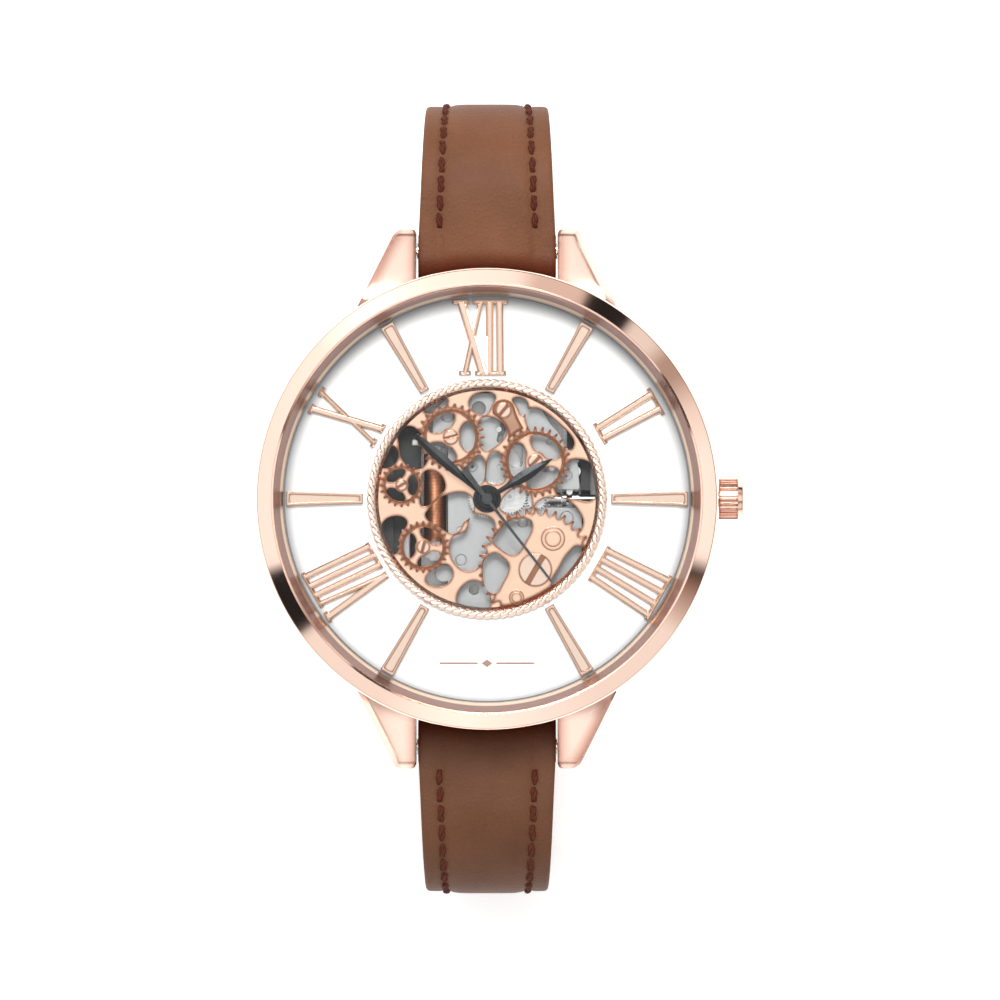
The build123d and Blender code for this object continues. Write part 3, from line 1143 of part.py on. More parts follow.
spring_bars.part.label = "spring_bars"
export_step(spring_bars.part, "parts/spring_bars.step")
strap_12.part.label = "strap_12"
export_step(strap_12.part, "parts/strap_12.step")
strap_12_lining.part.label = "strap_12_lining"
export_step(strap_12_lining.part, "parts/strap_12_lining.step")
strap_6.part.label = "strap_6"
export_step(strap_6.part, "parts/strap_6.step")
strap_6_lining.part.label = "strap_6_lining"
export_step(strap_6_lining.part, "parts/strap_6_lining.step")
fixed_keeper.part.label = "fixed_keeper"
export_step(fixed_keeper.part, "parts/fixed_keeper.step")
free_keeper.part.label = "free_keeper"
export_step(free_keeper.part, "parts/free_keeper.step")
buckle_frame.part.label = "buckle_frame"
export_step(buckle_frame.part, "parts/buckle_frame.step")
buckle_bar.part.label = "buckle_bar"
export_step(buckle_bar.part, "parts/buckle_bar.step")
buckle_tongue.part.label = "buckle_tongue"
export_step(buckle_tongue.part, "parts/buckle_tongue.step")
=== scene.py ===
"""Looks for the wristwatch: leather, thread, rope ring, ridged hands, finishes and light."""
import math

import bmesh
import bpy
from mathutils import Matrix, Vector


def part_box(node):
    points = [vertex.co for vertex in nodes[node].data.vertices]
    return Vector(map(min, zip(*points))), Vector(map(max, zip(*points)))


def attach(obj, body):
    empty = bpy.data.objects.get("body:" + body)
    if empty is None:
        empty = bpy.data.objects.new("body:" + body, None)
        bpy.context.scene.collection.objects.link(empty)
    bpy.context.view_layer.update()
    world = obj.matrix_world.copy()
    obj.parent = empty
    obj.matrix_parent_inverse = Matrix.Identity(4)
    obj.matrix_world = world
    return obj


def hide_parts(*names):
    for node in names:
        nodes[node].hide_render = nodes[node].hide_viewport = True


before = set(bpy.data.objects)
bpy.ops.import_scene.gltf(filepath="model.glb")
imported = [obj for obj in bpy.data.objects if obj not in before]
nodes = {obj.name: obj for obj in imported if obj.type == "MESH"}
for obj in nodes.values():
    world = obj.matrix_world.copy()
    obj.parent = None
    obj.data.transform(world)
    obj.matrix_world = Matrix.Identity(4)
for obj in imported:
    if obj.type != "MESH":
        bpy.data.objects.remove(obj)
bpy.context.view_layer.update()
MM = 0.001
NOISE_ROUGHNESS = 0.55
AO_SAMPLES, BEVEL_SAMPLES = 12, 6


# ---------------------------------------------------------------- finishes
def finish_of(name):
    """An empty material and its principled shader."""
    material = bpy.data.materials.new(name)
    material.use_nodes = True
    tree = material.node_tree
    return material, tree, tree.nodes["Principled BSDF"]


def node(tree, kind, **values):
    """A shader node with the named input sockets set."""
    made = tree.nodes.new(kind)
    for key, value in values.items():
        made.inputs[key.replace("_", " ")].default_value = value
    return made


def noise(tree, scale, detail=3.0, stretch=None):
    """A noise pattern in object space, in cycles per metre, optionally stretched."""
    where = tree.nodes.new("ShaderNodeTexCoord")
    pattern = node(tree, "ShaderNodeTexNoise", Scale=scale, Detail=detail,
                   Roughness=NOISE_ROUGHNESS)
    if stretch:
        mapping = tree.nodes.new("ShaderNodeMapping")
        mapping.inputs["Scale"].default_value = stretch
        tree.links.new(where.outputs["Object"], mapping.inputs["Vector"])
        tree.links.new(mapping.outputs["Vector"], pattern.inputs["Vector"])
    else:
        tree.links.new(where.outputs["Object"], pattern.inputs["Vector"])
    return pattern


def ramp(tree, source, low, high, start=0.35, end=0.65):
    """A two-colour ramp driven by a pattern."""
    made = tree.nodes.new("ShaderNodeValToRGB")
    made.color_ramp.elements[0].position = start
    made.color_ramp.elements[1].position = end
    made.color_ramp.elements[0].color = (*low, 1)
    made.color_ramp.elements[1].color = (*high, 1)
    tree.links.new(source, made.inputs["Fac"])
    return made


def set_stops(made, stops):
    """Gives a ramp its (place, colour) stops."""
    elements = made.color_ramp.elements
    while len(elements) < len(stops):
        elements.new(0.5)
    for element, (place, _) in zip(elements, stops):
        element.position = place
    for element, (_, colour) in zip(elements, stops):
        element.color = (*colour, 1)


def remap(tree, source, low, high):
    """A value from 0 to 1 as the source runs from low to high."""
    made = node(tree, "ShaderNodeMapRange")
    made.inputs["From Min"].default_value = low
    made.inputs["From Max"].default_value = high
    tree.links.new(source, made.inputs["Value"])
    return made


def spread(tree, source, low, high):
    """A value that runs from low to high with a pattern."""
    made = node(tree, "ShaderNodeMapRange")
    made.inputs["To Min"].default_value = low
    made.inputs["To Max"].default_value = high
    tree.links.new(source, made.inputs["Value"])
    return made


def metal(name, low, high, rough, edge=0.0, grain=0.0, stretch=None, scale=900):
    """A metal with faint tone and gloss variation, optional soft edges and brushed grain."""
    material, tree, shader = finish_of(name)
    shader.inputs["Metallic"].default_value = 1.0
    cloud = noise(tree, scale, stretch=stretch)
    tone = ramp(tree, cloud.outputs["Fac"], low, high)
    tree.links.new(tone.outputs["Color"], shader.inputs["Base Color"])
    gloss = spread(tree, cloud.outputs["Fac"], rough * 0.8, rough * 1.25)
    tree.links.new(gloss.outputs["Result"], shader.inputs["Roughness"])
    normal = None
    if edge:
        soft = tree.nodes.new("ShaderNodeBevel")
        soft.samples = BEVEL_SAMPLES
        soft.inputs["Radius"].default_value = edge
        normal = soft.outputs["Normal"]
    if grain:
        bump = node(tree, "ShaderNodeBump", Strength=grain, Distance=0.00002)
        tree.links.new(cloud.outputs["Fac"], bump.inputs["Height"])
        if normal:
            tree.links.new(normal, bump.inputs["Normal"])
        normal = bump.outputs["Normal"]
    if normal:
        tree.links.new(normal, shader.inputs["Normal"])
    return material


def gilt(name, face, edge, rough, width, round_edge=0.00006):
    """Rose gold plating with painted shade: copper brown along its edges and in its corners."""
    material, tree, shader = finish_of(name)
    shader.inputs["Metallic"].default_value = 1.0
    # painted shade and painted dark reflection: the base colour turns copper brown near the edges
    near_edge = node(tree, "ShaderNodeAmbientOcclusion", Distance=width)
    near_edge.inside = True
    near_edge.only_local = True
    near_edge.samples = AO_SAMPLES
    painted_edge_shade = remap(tree, near_edge.outputs["AO"], 0.55, 0.96)
    # painted shade: the base colour also darkens in corners and recesses
    corner = node(tree, "ShaderNodeAmbientOcclusion", Distance=0.0003)
    corner.samples = AO_SAMPLES
    shade = remap(tree, corner.outputs["AO"], 0.35, 0.8)
    both = tree.nodes.new("ShaderNodeMath")
    both.operation = "MULTIPLY"
    tree.links.new(painted_edge_shade.outputs["Result"], both.inputs[0])
    tree.links.new(shade.outputs["Result"], both.inputs[1])
    tone = ramp(tree, both.outputs["Value"], edge, face, 0.0, 1.0)
    tree.links.new(tone.outputs["Color"], shader.inputs["Base Color"])
    cloud = noise(tree, 900)
    gloss = spread(tree, cloud.outputs["Fac"], rough * 0.8, rough * 1.25)
    tree.links.new(gloss.outputs["Result"], shader.inputs["Roughness"])
    soft = tree.nodes.new("ShaderNodeBevel")
    soft.samples = BEVEL_SAMPLES
    soft.inputs["Radius"].default_value = round_edge
    tree.links.new(soft.outputs["Normal"], shader.inputs["Normal"])
    return material


ROSE_LOW, ROSE_HIGH = (0.93, 0.66, 0.54), (0.95, 0.69, 0.57)
rose = metal("rose_gold_polished", ROSE_LOW, ROSE_HIGH, 0.07)
# the gilt finishes from here on carry painted shade along their edges and in their corners
rose_bezel = gilt("rose_gold_bezel", ROSE_HIGH, (0.55, 0.30, 0.22), 0.07, 0.0001, 0.00003)
rose_case = gilt("rose_gold_case", (0.92, 0.65, 0.54), (0.56, 0.31, 0.24), 0.12, 0.0012, 0.0005)
rose_crown = gilt("rose_gold_crown", (0.89, 0.61, 0.49), (0.28, 0.10, 0.06), 0.14, 0.00026)
rose_fine = gilt("rose_gold_fine", (0.90, 0.68, 0.55), (0.34, 0.14, 0.075), 0.16, 0.00015)
rose_rope = gilt("rose_gold_rope", (0.95, 0.76, 0.64), (0.62, 0.36, 0.26), 0.3, 0.00005)
rose_plate = gilt("rose_gold_plate", (0.92, 0.60, 0.44), (0.24, 0.09, 0.045), 0.22, 0.0003)
steel = metal("steel_brushed", (0.58, 0.57, 0.56), (0.68, 0.67, 0.66), 0.24, grain=0.3,
              stretch=(1, 12, 1), scale=1500)
plate_grey = metal("plate_grey", (0.32, 0.32, 0.32), (0.36, 0.36, 0.36), 0.38, edge=0.00005,
                   grain=0.25, stretch=(1, 10, 1), scale=2500)
brass = metal("brass_train", (0.72, 0.55, 0.30), (0.82, 0.66, 0.40), 0.22)
dark_metal = metal("magnet_dark", (0.10, 0.10, 0.11), (0.16, 0.16, 0.17), 0.35)
anthracite = metal("hand_anthracite", (0.024, 0.024, 0.026), (0.036, 0.036, 0.038), 0.28)


def plain(name, low, high, rough, bump=0.1, scale=2500, coat=0.0):
    """A non-metal with mottled tone and a fine surface texture."""
    material, tree, shader = finish_of(name)
    cloud = noise(tree, scale)
    tone = ramp(tree, cloud.outputs["Fac"], low, high)
    tree.links.new(tone.outputs["Color"], shader.inputs["Base Color"])
    gloss = spread(tree, cloud.outputs["Fac"], rough * 0.85, rough * 1.15)
    tree.links.new(gloss.outputs["Result"], shader.inputs["Roughness"])
    relief = node(tree, "ShaderNodeBump", Strength=bump, Distance=0.00002)
    tree.links.new(cloud.outputs["Fac"], relief.inputs["Height"])
    tree.links.new(relief.outputs["Normal"], shader.inputs["Normal"])
    shader.inputs["Coat Weight"].default_value = coat
    return material


def dial_enamel():
    """White dial enamel with a painted shadow: grey at the rim, more on the 12 o'clock side."""
    material = plain("dial_white", (0.86, 0.86, 0.86), (0.89, 0.89, 0.89), 0.35, bump=0.05)
    tree = material.node_tree
    where = tree.nodes.new("ShaderNodeTexCoord")
    shift = node(tree, "ShaderNodeMapping", Location=(0, 0.0003, 0), Scale=(1, 1, 0))
    tree.links.new(where.outputs["Object"], shift.inputs["Vector"])
    radius = tree.nodes.new("ShaderNodeVectorMath")
    radius.operation = "LENGTH"
    tree.links.new(shift.outputs["Vector"], radius.inputs[0])
    # painted shadow: the base colour greys towards the rim, centred a little towards 12 o'clock
    rim = remap(tree, radius.outputs["Value"], 0.0159, 0.0175)
    painted_rim_shadow = tree.nodes.new("ShaderNodeValToRGB")
    painted_rim_shadow.color_ramp.elements[0].color = (1, 1, 1, 1)
    painted_rim_shadow.color_ramp.elements[1].color = (0.28, 0.28, 0.29, 1)
    painted_rim_shadow.color_ramp.interpolation = "EASE"
    tree.links.new(rim.outputs["Result"], painted_rim_shadow.inputs["Fac"])
    mix = tree.nodes.new("ShaderNodeMixRGB")
    mix.blend_type = "MULTIPLY"
    mix.inputs["Fac"].default_value = 1.0
    shader = tree.nodes["Principled BSDF"]
    tree.links.new(shader.inputs["Base Color"].links[0].from_socket, mix.inputs["Color1"])
    tree.links.new(painted_rim_shadow.outputs["Color"], mix.inputs["Color2"])
    tree.links.new(mix.outputs["Color"], shader.inputs["Base Color"])
    return material


dial_white = dial_enamel()
black_plastic = plain("black_plastic", (0.018, 0.018, 0.019), (0.035, 0.035, 0.036), 0.4)
rubber = plain("black_rubber", (0.02, 0.02, 0.02), (0.03, 0.03, 0.03), 0.6)
clear_gasket = plain("clear_gasket", (0.5, 0.5, 0.5), (0.6, 0.6, 0.6), 0.4)
board = plain("board_black", (0.012, 0.013, 0.013), (0.022, 0.023, 0.023), 0.35)
solder = metal("solder_pads", (0.70, 0.68, 0.64), (0.80, 0.78, 0.74), 0.3)
hand_black = plain("hand_black", (0.016, 0.016, 0.017), (0.028, 0.028, 0.03), 0.26, bump=0.03,
                   coat=0.3)
print_rose = plain("print_rose", (0.30, 0.17, 0.12), (0.36, 0.20, 0.14), 0.4, bump=0.02)


def glass():
    """Clear watch glass that lets light through to the dial, with a faint uneven gloss."""
    material, tree, shader = finish_of("watch_glass")
    tree.nodes.remove(shader)
    out = tree.nodes["Material Output"]
    cloud = noise(tree, 300)
    gloss = spread(tree, cloud.outputs["Fac"], 0.01, 0.03)
    clear = node(tree, "ShaderNodeBsdfTransparent", Color=(0.99, 0.995, 0.995, 1))
    shine = node(tree, "ShaderNodeBsdfGlossy", Color=(1, 1, 1, 1))
    tree.links.new(gloss.outputs["Result"], shine.inputs["Roughness"])
    slant = node(tree, "ShaderNodeLayerWeight", Blend=0.5)
    steep = tree.nodes.new("ShaderNodeMath")
    steep.operation = "POWER"
    steep.inputs[1].default_value = 5.0
    tree.links.new(slant.outputs["Facing"], steep.inputs[0])
    share = spread(tree, steep.outputs["Value"], 0.012, 0.7)
    blend = tree.nodes.new("ShaderNodeMixShader")
    tree.links.new(share.outputs["Result"], blend.inputs["Fac"])
    tree.links.new(clear.outputs["BSDF"], blend.inputs[1])
    tree.links.new(shine.outputs["BSDF"], blend.inputs[2])
    tree.links.new(blend.outputs["Shader"], out.inputs["Surface"])
    return material


GRAIN_SCALE, GRAIN_BUMP = 2400, 0.8
# painted shade: the leather is dark up to the first Y and plain from the second, and plain below
# the second Z
LUG_SHADE_Y = (0.0193, 0.0214)
LUG_SHADE_Z = (0.034, 0.030)


def leather(name, dark, light, rough=0.55):
    """Smooth calf leather: cell-like grain, fine pores, slow tone drift, painted shade beside the
    lugs.
    """
    material, tree, shader = finish_of(name)
    where = tree.nodes.new("ShaderNodeTexCoord")
    drift = noise(tree, 160, detail=4)
    tone = ramp(tree, drift.outputs["Fac"], dark, light, 0.3, 0.7)
    cells = node(tree, "ShaderNodeTexVoronoi", Scale=GRAIN_SCALE)
    cells.feature = "DISTANCE_TO_EDGE"
    tree.links.new(where.outputs["Object"], cells.inputs["Vector"])
    fine = noise(tree, 5200, detail=5)
    mix = tree.nodes.new("ShaderNodeMixRGB")
    mix.blend_type = "MULTIPLY"
    mix.inputs["Fac"].default_value = 0.35
    speck = ramp(tree, fine.outputs["Fac"], (0.62, 0.60, 0.58), (1, 1, 1), 0.3, 0.6)
    tree.links.new(tone.outputs["Color"], mix.inputs["Color1"])
    tree.links.new(speck.outputs["Color"], mix.inputs["Color2"])
    parts = tree.nodes.new("ShaderNodeSeparateXYZ")
    tree.links.new(where.outputs["Object"], parts.inputs["Vector"])
    away = tree.nodes.new("ShaderNodeMath")
    away.operation = "ABSOLUTE"
    tree.links.new(parts.outputs["Y"], away.inputs[0])
    clear_of_lug = remap(tree, away.outputs["Value"], *LUG_SHADE_Y)
    clear_of_lug.interpolation_type = "SMOOTHSTEP"
    below_case = remap(tree, parts.outputs["Z"], *LUG_SHADE_Z)
    even = tree.nodes.new("ShaderNodeMath")
    even.operation = "MAXIMUM"
    tree.links.new(clear_of_lug.outputs["Result"], even.inputs[0])
    tree.links.new(below_case.outputs["Result"], even.inputs[1])
    # painted shade: the colour darkens beside the lugs, above the case's underside
    shaded = tree.nodes.new("ShaderNodeMixRGB")
    tree.links.new(even.outputs["Value"], shaded.inputs["Fac"])
    shaded.inputs["Color1"].default_value = (dark[0] * 0.7, dark[1] * 0.4, dark[2] * 0.25, 1)
    tree.links.new(mix.outputs["Color"], shaded.inputs["Color2"])
    tree.links.new(shaded.outputs["Color"], shader.inputs["Base Color"])
    gloss = spread(tree, fine.outputs["Fac"], rough * 0.8, rough * 1.25)
    tree.links.new(gloss.outputs["Result"], shader.inputs["Roughness"])
    grain = node(tree, "ShaderNodeBump", Strength=GRAIN_BUMP, Distance=0.00006)
    tree.links.new(cells.outputs["Distance"], grain.inputs["Height"])
    pores = node(tree, "ShaderNodeBump", Strength=GRAIN_BUMP * 0.6, Distance=0.00004)
    tree.links.new(fine.outputs["Fac"], pores.inputs["Height"])
    tree.links.new(grain.outputs["Normal"], pores.inputs["Normal"])
    tree.links.new(pores.outputs["Normal"], shader.inputs["Normal"])
    shader.inputs["Specular IOR Level"].default_value = 0.2
    return material


brown = leather("leather_brown", (0.125, 0.046, 0.020), (0.165, 0.064, 0.029))
# a darker copy of the strap leather: painted shade for the lower strap
brown_shaded = leather("leather_brown_shaded_lower", (0.095, 0.036, 0.016), (0.128, 0.051, 0.024))
lining = leather("leather_lining", (0.20, 0.10, 0.06), (0.26, 0.14, 0.09), rough=0.7)
thread = plain("thread_brown", (0.045, 0.009, 0.004), (0.11, 0.026, 0.012), 0.7, bump=0.4,
               scale=9000)
thread.node_tree.nodes["Principled BSDF"].inputs["Specular IOR Level"].default_value = 0.15


def copper():
    """Enamelled copper wire wound round the coil: fine turns across its length."""
    material, tree, shader = finish_of("copper_wire")
    shader.inputs["Metallic"].default_value = 1.0
    where = tree.nodes.new("ShaderNodeTexCoord")
    turns = node(tree, "ShaderNodeTexWave", Scale=2600, Distortion=1.5, Detail=2.0)
    turns.bands_direction = "Y"
    tree.links.new(where.outputs["Object"], turns.inputs["Vector"])
    tone = ramp(tree, turns.outputs["Fac"], (0.42, 0.15, 0.07), (0.72, 0.33, 0.19), 0.2, 0.8)
    tree.links.new(tone.outputs["Color"], shader.inputs["Base Color"])
    shader.inputs["Roughness"].default_value = 0.34
    relief = node(tree, "ShaderNodeBump", Strength=0.6, Distance=0.00004)
    tree.links.new(turns.outputs["Fac"], relief.inputs["Height"])
    tree.links.new(relief.outputs["Normal"], shader.inputs["Normal"])
    return material


def rehaut():
    """The steep ring between dial and glass: satin rose gold, painted shade low down, painted lit
    lines.
    """
    material, tree, shader = finish_of("rehaut_satin")
    shader.inputs["Metallic"].default_value = 1.0
    shader.inputs["Roughness"].default_value = 0.34
    where = tree.nodes.new("ShaderNodeTexCoord")
    flat = node(tree, "ShaderNodeMapping", Scale=(1, 1, 0))
    tree.links.new(where.outputs["Object"], flat.inputs["Vector"])
    radius = tree.nodes.new("ShaderNodeVectorMath")
    radius.operation = "LENGTH"
    tree.links.new(flat.outputs["Vector"], radius.inputs[0])
    across = remap(tree, radius.outputs["Value"], 0.0170, 0.0182)
    tone = tree.nodes.new("ShaderNodeValToRGB")
    # painted shade and light: the stops paint a shadow at the ring's foot, a lit gold line above
    # it, a dark line below its bright top edge
    shadow, gold, wall = (0.15, 0.15, 0.16), (0.95, 0.72, 0.54), (0.31, 0.18, 0.15)
    set_stops(tone, ((0.0, shadow), (0.14, shadow), (0.22, gold), (0.36, gold), (0.44, wall),
                     (0.78, wall), (0.82, (0.36, 0.15, 0.09)), (0.9, (0.95, 0.66, 0.52))))
    tree.links.new(across.outputs["Result"], tone.inputs["Fac"])
    tree.links.new(tone.outputs["Color"], shader.inputs["Base Color"])
    return material


finishes = {
    rose: ["buckle_frame", "buckle_tongue", "aperture_ring"],
    rose_bezel: ["bezel"],
    rose_crown: ["crown"],
    rose_case: ["case_middle"],
    rose_fine: ["hour_batons", "hour_numerals", "dial_screws"],
    rose_plate: ["skeleton_plate", "dial_wheel_a", "dial_wheel_b", "dial_wheel_c",
                 "dial_wheel_d", "dial_wheel_e", "dial_bridge"],
    steel: ["case_back", "crown_tube", "stem", "sliding_pinion", "setting_lever",
            "setting_wheel", "train_bridge", "bridge_screws", "stator", "coil_core",
            "quartz_crystal", "battery", "spring_bars", "buckle_bar", "seconds_wheel",
            "fifth_wheel", "third_wheel", "centre_wheel", "minute_wheel", "hour_wheel"],
    plate_grey: ["main_plate", "lever_cover"],
    brass: ["battery_clip"],
    dark_metal: ["rotor"],
    glass(): ["crystal_glass"],
    clear_gasket: ["crystal_gasket"],
    rubber: ["case_back_gasket", "crown_gasket"],
    dial_white: ["dial"],
    print_rose: ["dial_ornament"],
    anthracite: ["hour_hand", "minute_hand"],
    hand_black: ["seconds_hand"],
    black_plastic: ["base_frame", "movement_holder"],
    board: ["circuit_board"],
    copper(): ["coil_winding"],
    rehaut(): ["rehaut_ring"],
    brown: ["strap_12", "strap_6", "fixed_keeper", "free_keeper"],
    lining: ["strap_12_lining", "strap_6_lining"],
}
for material, names in finishes.items():
    for name in names:
        nodes[name].data.materials.clear()
        nodes[name].data.materials.append(material)


# ---------------------------------------------------------------- made shapes
def piece(name, points, faces, material, body, smooth=True):
    """A mesh in the row frame that rides on a body. Points are in millimetres."""
    mesh = bpy.data.meshes.new(name)
    mesh.from_pydata([Vector(p) * MM for p in points], [], faces)
    shell = bmesh.new()
    shell.from_mesh(mesh)
    bmesh.ops.recalc_face_normals(shell, faces=shell.faces)
    shell.to_mesh(mesh)
    shell.free()
    if smooth:
        mesh.shade_smooth()
    made = bpy.data.objects.new(name, mesh)
    bpy.context.scene.collection.objects.link(made)
    mesh.materials.append(material)
    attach(made, body)
    return made


def tube(points, faces, line, radius, sides=8, closed=False):
    """Adds a round tube along a line of points to a growing mesh."""
    start = len(points)
    count = len(line)
    for i, here in enumerate(line):
        ahead = line[(i + 1) % count] if closed or i < count - 1 else here
        behind = line[i - 1] if closed or i > 0 else here
        along = (Vector(ahead) - Vector(behind)).normalized()
        side = along.cross(Vector((0.123, 0.357, 0.926))).normalized()
        up = side.cross(along)
        for k in range(sides):
            a = 2 * math.pi * k / sides
            spot = Vector(here) + radius * (math.cos(a) * side + math.sin(a) * up)
            points.append(tuple(spot))
    last = count if closed else count - 1
    for i in range(last):
        for k in range(sides):
            a0 = start + i * sides + k
            a1 = start + i * sides + (k + 1) % sides
            b0 = start + (i + 1) % count * sides + k
            b1 = start + (i + 1) % count * sides + (k + 1) % sides
            faces.append((a0, a1, b1, b0))
    if not closed:
        faces.append(tuple(start + k for k in reversed(range(sides))))
        faces.append(tuple(start + (count - 1) * sides + k for k in range(sides)))


def turned_ring(points, faces, profile, sides):
    """Adds a closed outline of (radius, height) pairs turned about the watch's axis."""
    start, count = len(points), len(profile)
    for i in range(sides):
        a = 2 * math.pi * i / sides
        points.extend((r * math.cos(a), r * math.sin(a), z) for r, z in profile)
    for i in range(sides):
        for k in range(count):
            here, ahead = start + i * count, start + (i + 1) % sides * count
            faces.append((here + k, here + (k + 1) % count, ahead + (k + 1) % count, ahead + k))


# the rope round the dial's window: two wires twisted together, and the lip inside them
TURNS, STEPS_A_TURN = 46, 18
ROPE_R, ROPE_Z, WIRE_R = 9.79, 46.88, 0.2
TWIST_R, TWIST_Z = 0.16, 0.06
LIP = ((9.2, 46.56), (9.6, 46.56), (9.6, 46.85), (9.46, 46.85), (9.2, 46.62))
points, faces = [], []
steps = TURNS * STEPS_A_TURN
for strand in (0, math.pi):
    line = []
    for i in range(steps):
        round_angle = 2 * math.pi * i / steps
        twist = TURNS * round_angle + strand
        r = ROPE_R + TWIST_R * math.cos(twist)
        line.append((r * math.cos(round_angle), r * math.sin(round_angle),
                     ROPE_Z + TWIST_Z * math.sin(twist)))
    tube(points, faces, line, WIRE_R, sides=12, closed=True)
rope = piece("rope_ring", points, faces, rose_rope, "case")
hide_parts("aperture_ring")
points, faces = [], []
turned_ring(points, faces, LIP, 256)
piece("rope_lip", points, faces, rose, "case", smooth=False)

# two solder pads on the circuit board
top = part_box("circuit_board")[1][2] / MM
points, faces = [], []
for x, y, half in ((-6.01, 5.34, 0.21), (-6.11, 4.8, 0.25)):
    start = len(points)
    for size, z in ((half, top - 0.02), (half, top + 0.03), (half - 0.05, top + 0.05)):
        points += [(x - size, y - size, z), (x + size, y - size, z),
                   (x + size, y + size, z), (x - size, y + size, z)]
    faces.append((start, start + 1, start + 2, start + 3))
    faces.append((start + 8, start + 9, start + 10, start + 11))
    for low in (start, start + 4):
        for k in range(4):
            faces.append((low + k, low + (k + 1) % 4, low + 4 + (k + 1) % 4, low + 4 + k))
piece("solder_pads", points, faces, solder, "case", smooth=False)


# ---------------------------------------------------------------- hands
def leaf_hand(name, angle, low, thick, stations, hub, bore):
    """A leaf hand with a ridge down its middle and rings turned into its hub."""
    points, faces = [], []
    high = low + thick
    turned_ring(points, faces, ((bore, low), (hub, low), (hub, high - 0.05), (hub * 0.93, high),
                                (hub * 0.80, high), (hub * 0.75, high - 0.05),
                                (hub * 0.66, high - 0.05), (hub * 0.61, high), (bore, high)), 72)
    a = math.radians(angle)
    start = len(points)
    for along, half in stations:
        for x, z in ((-half, low + 0.01), (-half, high - 0.09), (0, high - 0.005),
                     (half, high - 0.09), (half, low + 0.01)):
            points.append((x * math.cos(a) + along * math.sin(a),
                           along * math.cos(a) - x * math.sin(a), z))
    last = len(stations) - 1
    for i in range(last):
        for k in range(5):
            here = start + i * 5
            faces.append((here + k, here + (k + 1) % 5, here + 5 + (k + 1) % 5, here + 5 + k))
    faces.append(tuple(start + k for k in range(5)))
    faces.append(tuple(start + last * 5 + k for k in reversed(range(5))))
    return name, points, faces


def leaf_widths(first, neck, neck_at, width, widest_at, length, tip=0.03):
    """Half widths along a leaf: straight neck, smooth swell and a long taper to the point."""
    made = []
    steps = 28
    for i in range(steps + 1):
        along = first + (length - first) * i / steps
        if along < neck_at:
            half = neck / 2
        elif along < widest_at:
            t = (along - neck_at) / (widest_at - neck_at)
            half = neck / 2 + (width - neck) / 2 * t * t * (3 - 2 * t)
        else:
            t = (along - widest_at) / (length - widest_at)
            half = tip + (width / 2 - tip) * (1 - t ** 1.7)
        made.append((along, half))
    return made


for body, replaced, parts in (
    ("hour_pipe", "hour_hand",
     leaf_hand("hour_leaf", 58.5, 47.3, 0.16,
               leaf_widths(0.95, 0.42, 1.62, 0.98, 3.7, 6.46), 1.18, 0.625)),
    ("centre_arbor", "minute_hand",
     leaf_hand("minute_leaf", 311.5, 47.7, 0.14,
               leaf_widths(0.6, 0.36, 1.05, 0.88, 5.2, 9.0), 0.77, 0.385)),
):
    hand = piece(parts[0], parts[1], parts[2], anthracite, body, smooth=False)
    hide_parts(replaced)


# ---------------------------------------------------------------- strap
BAR_Y, BAR_Z, TOP_Z, LEG_Y, FOOT_Z = 21.1, 42, 42.3, 32.6, 0.7
BEND_R, CORNER_R, CURL_R, CURL_START = 7.0, 7.0, 12.0, 19.5
CURL = math.radians(45)
TAIL_Y = 11.0
# how far the stitches lie from the strap's edge, and the leather's underside from its middle line
SEAM, UNDERSIDE = 1.7, 0.2


def strap_path(side):
    """The strap's middle line from the spring bar: (y, z, outward y, outward z, run) a point."""
    line = []

    def go(y, z, oy, oz):
        run = 0.0
        if line:
            run = line[-1][4] + math.hypot(y - line[-1][0], z - line[-1][1])
        if not line or run - line[-1][4] > 1e-6:
            line.append((y, z, oy, oz, run))

    def straight(start, end, outward):
        count = max(2, int(math.dist(start, end) / 0.3))
        for i in range(count + 1):
            t = i / count
            go(start[0] + t * (end[0] - start[0]), start[1] + t * (end[1] - start[1]), *outward)

    def bend(centre, radius, start, end):
        count = int(abs(end - start) * radius / 0.2)
        for i in range(count + 1):
            a = start + (end - start) * i / count
            go(centre[0] + radius * math.cos(a), centre[1] + radius * math.sin(a),
               math.cos(a), math.sin(a))

    straight((BAR_Y + 0.3, TOP_Z), (LEG_Y - BEND_R, TOP_Z), (0, 1))
    bend((LEG_Y - BEND_R, TOP_Z - BEND_R), BEND_R, math.pi / 2, 0)
    straight((LEG_Y, TOP_Z - BEND_R), (LEG_Y, FOOT_Z + CORNER_R), (1, 0))
    bend((LEG_Y - CORNER_R, FOOT_Z + CORNER_R), CORNER_R, 0, -math.pi / 2)
    if side > 0:
        straight((LEG_Y - CORNER_R, FOOT_Z), (CURL_START, FOOT_Z), (0, -1))
        bend((CURL_START, FOOT_Z + CURL_R), CURL_R, -math.pi / 2, -math.pi / 2 - CURL)
        last = line[-1]
        straight(last[:2], (last[0] - 9 * math.cos(CURL), last[1] + 9 * math.sin(CURL)),
                 (-math.sin(CURL), -math.cos(CURL)))
    else:
        straight((LEG_Y - CORNER_R, FOOT_Z), (-TAIL_Y, FOOT_Z), (0, -1))
    return [(side * y, z, side * oy, oz, run) for y, z, oy, oz, run in line]


def strap_width(run, total):
    """The strap's width: quick taper over the shoulder of the wrist, slow after it."""
    shoulder = 15.2
    if run < shoulder:
        return 11.7 - 1.4 * run / shoulder
    return 10.3 - 0.5 * (run - shoulder) / (total - shoulder)


def top_height(x, half):
    """Height of the leather's outer face above the middle line, across the strap."""
    inward = half - abs(x)
    edge = math.sqrt(max(0.0, 1 - (1 - min(inward, 0.45) / 0.45) ** 2))
    stitched = 0.13 * math.exp(-((inward - SEAM) / 0.36) ** 2)
    return 0.76 + 0.22 * edge + 0.18 / (1 + math.exp(-(inward - 2.3) / 0.28)) - stitched


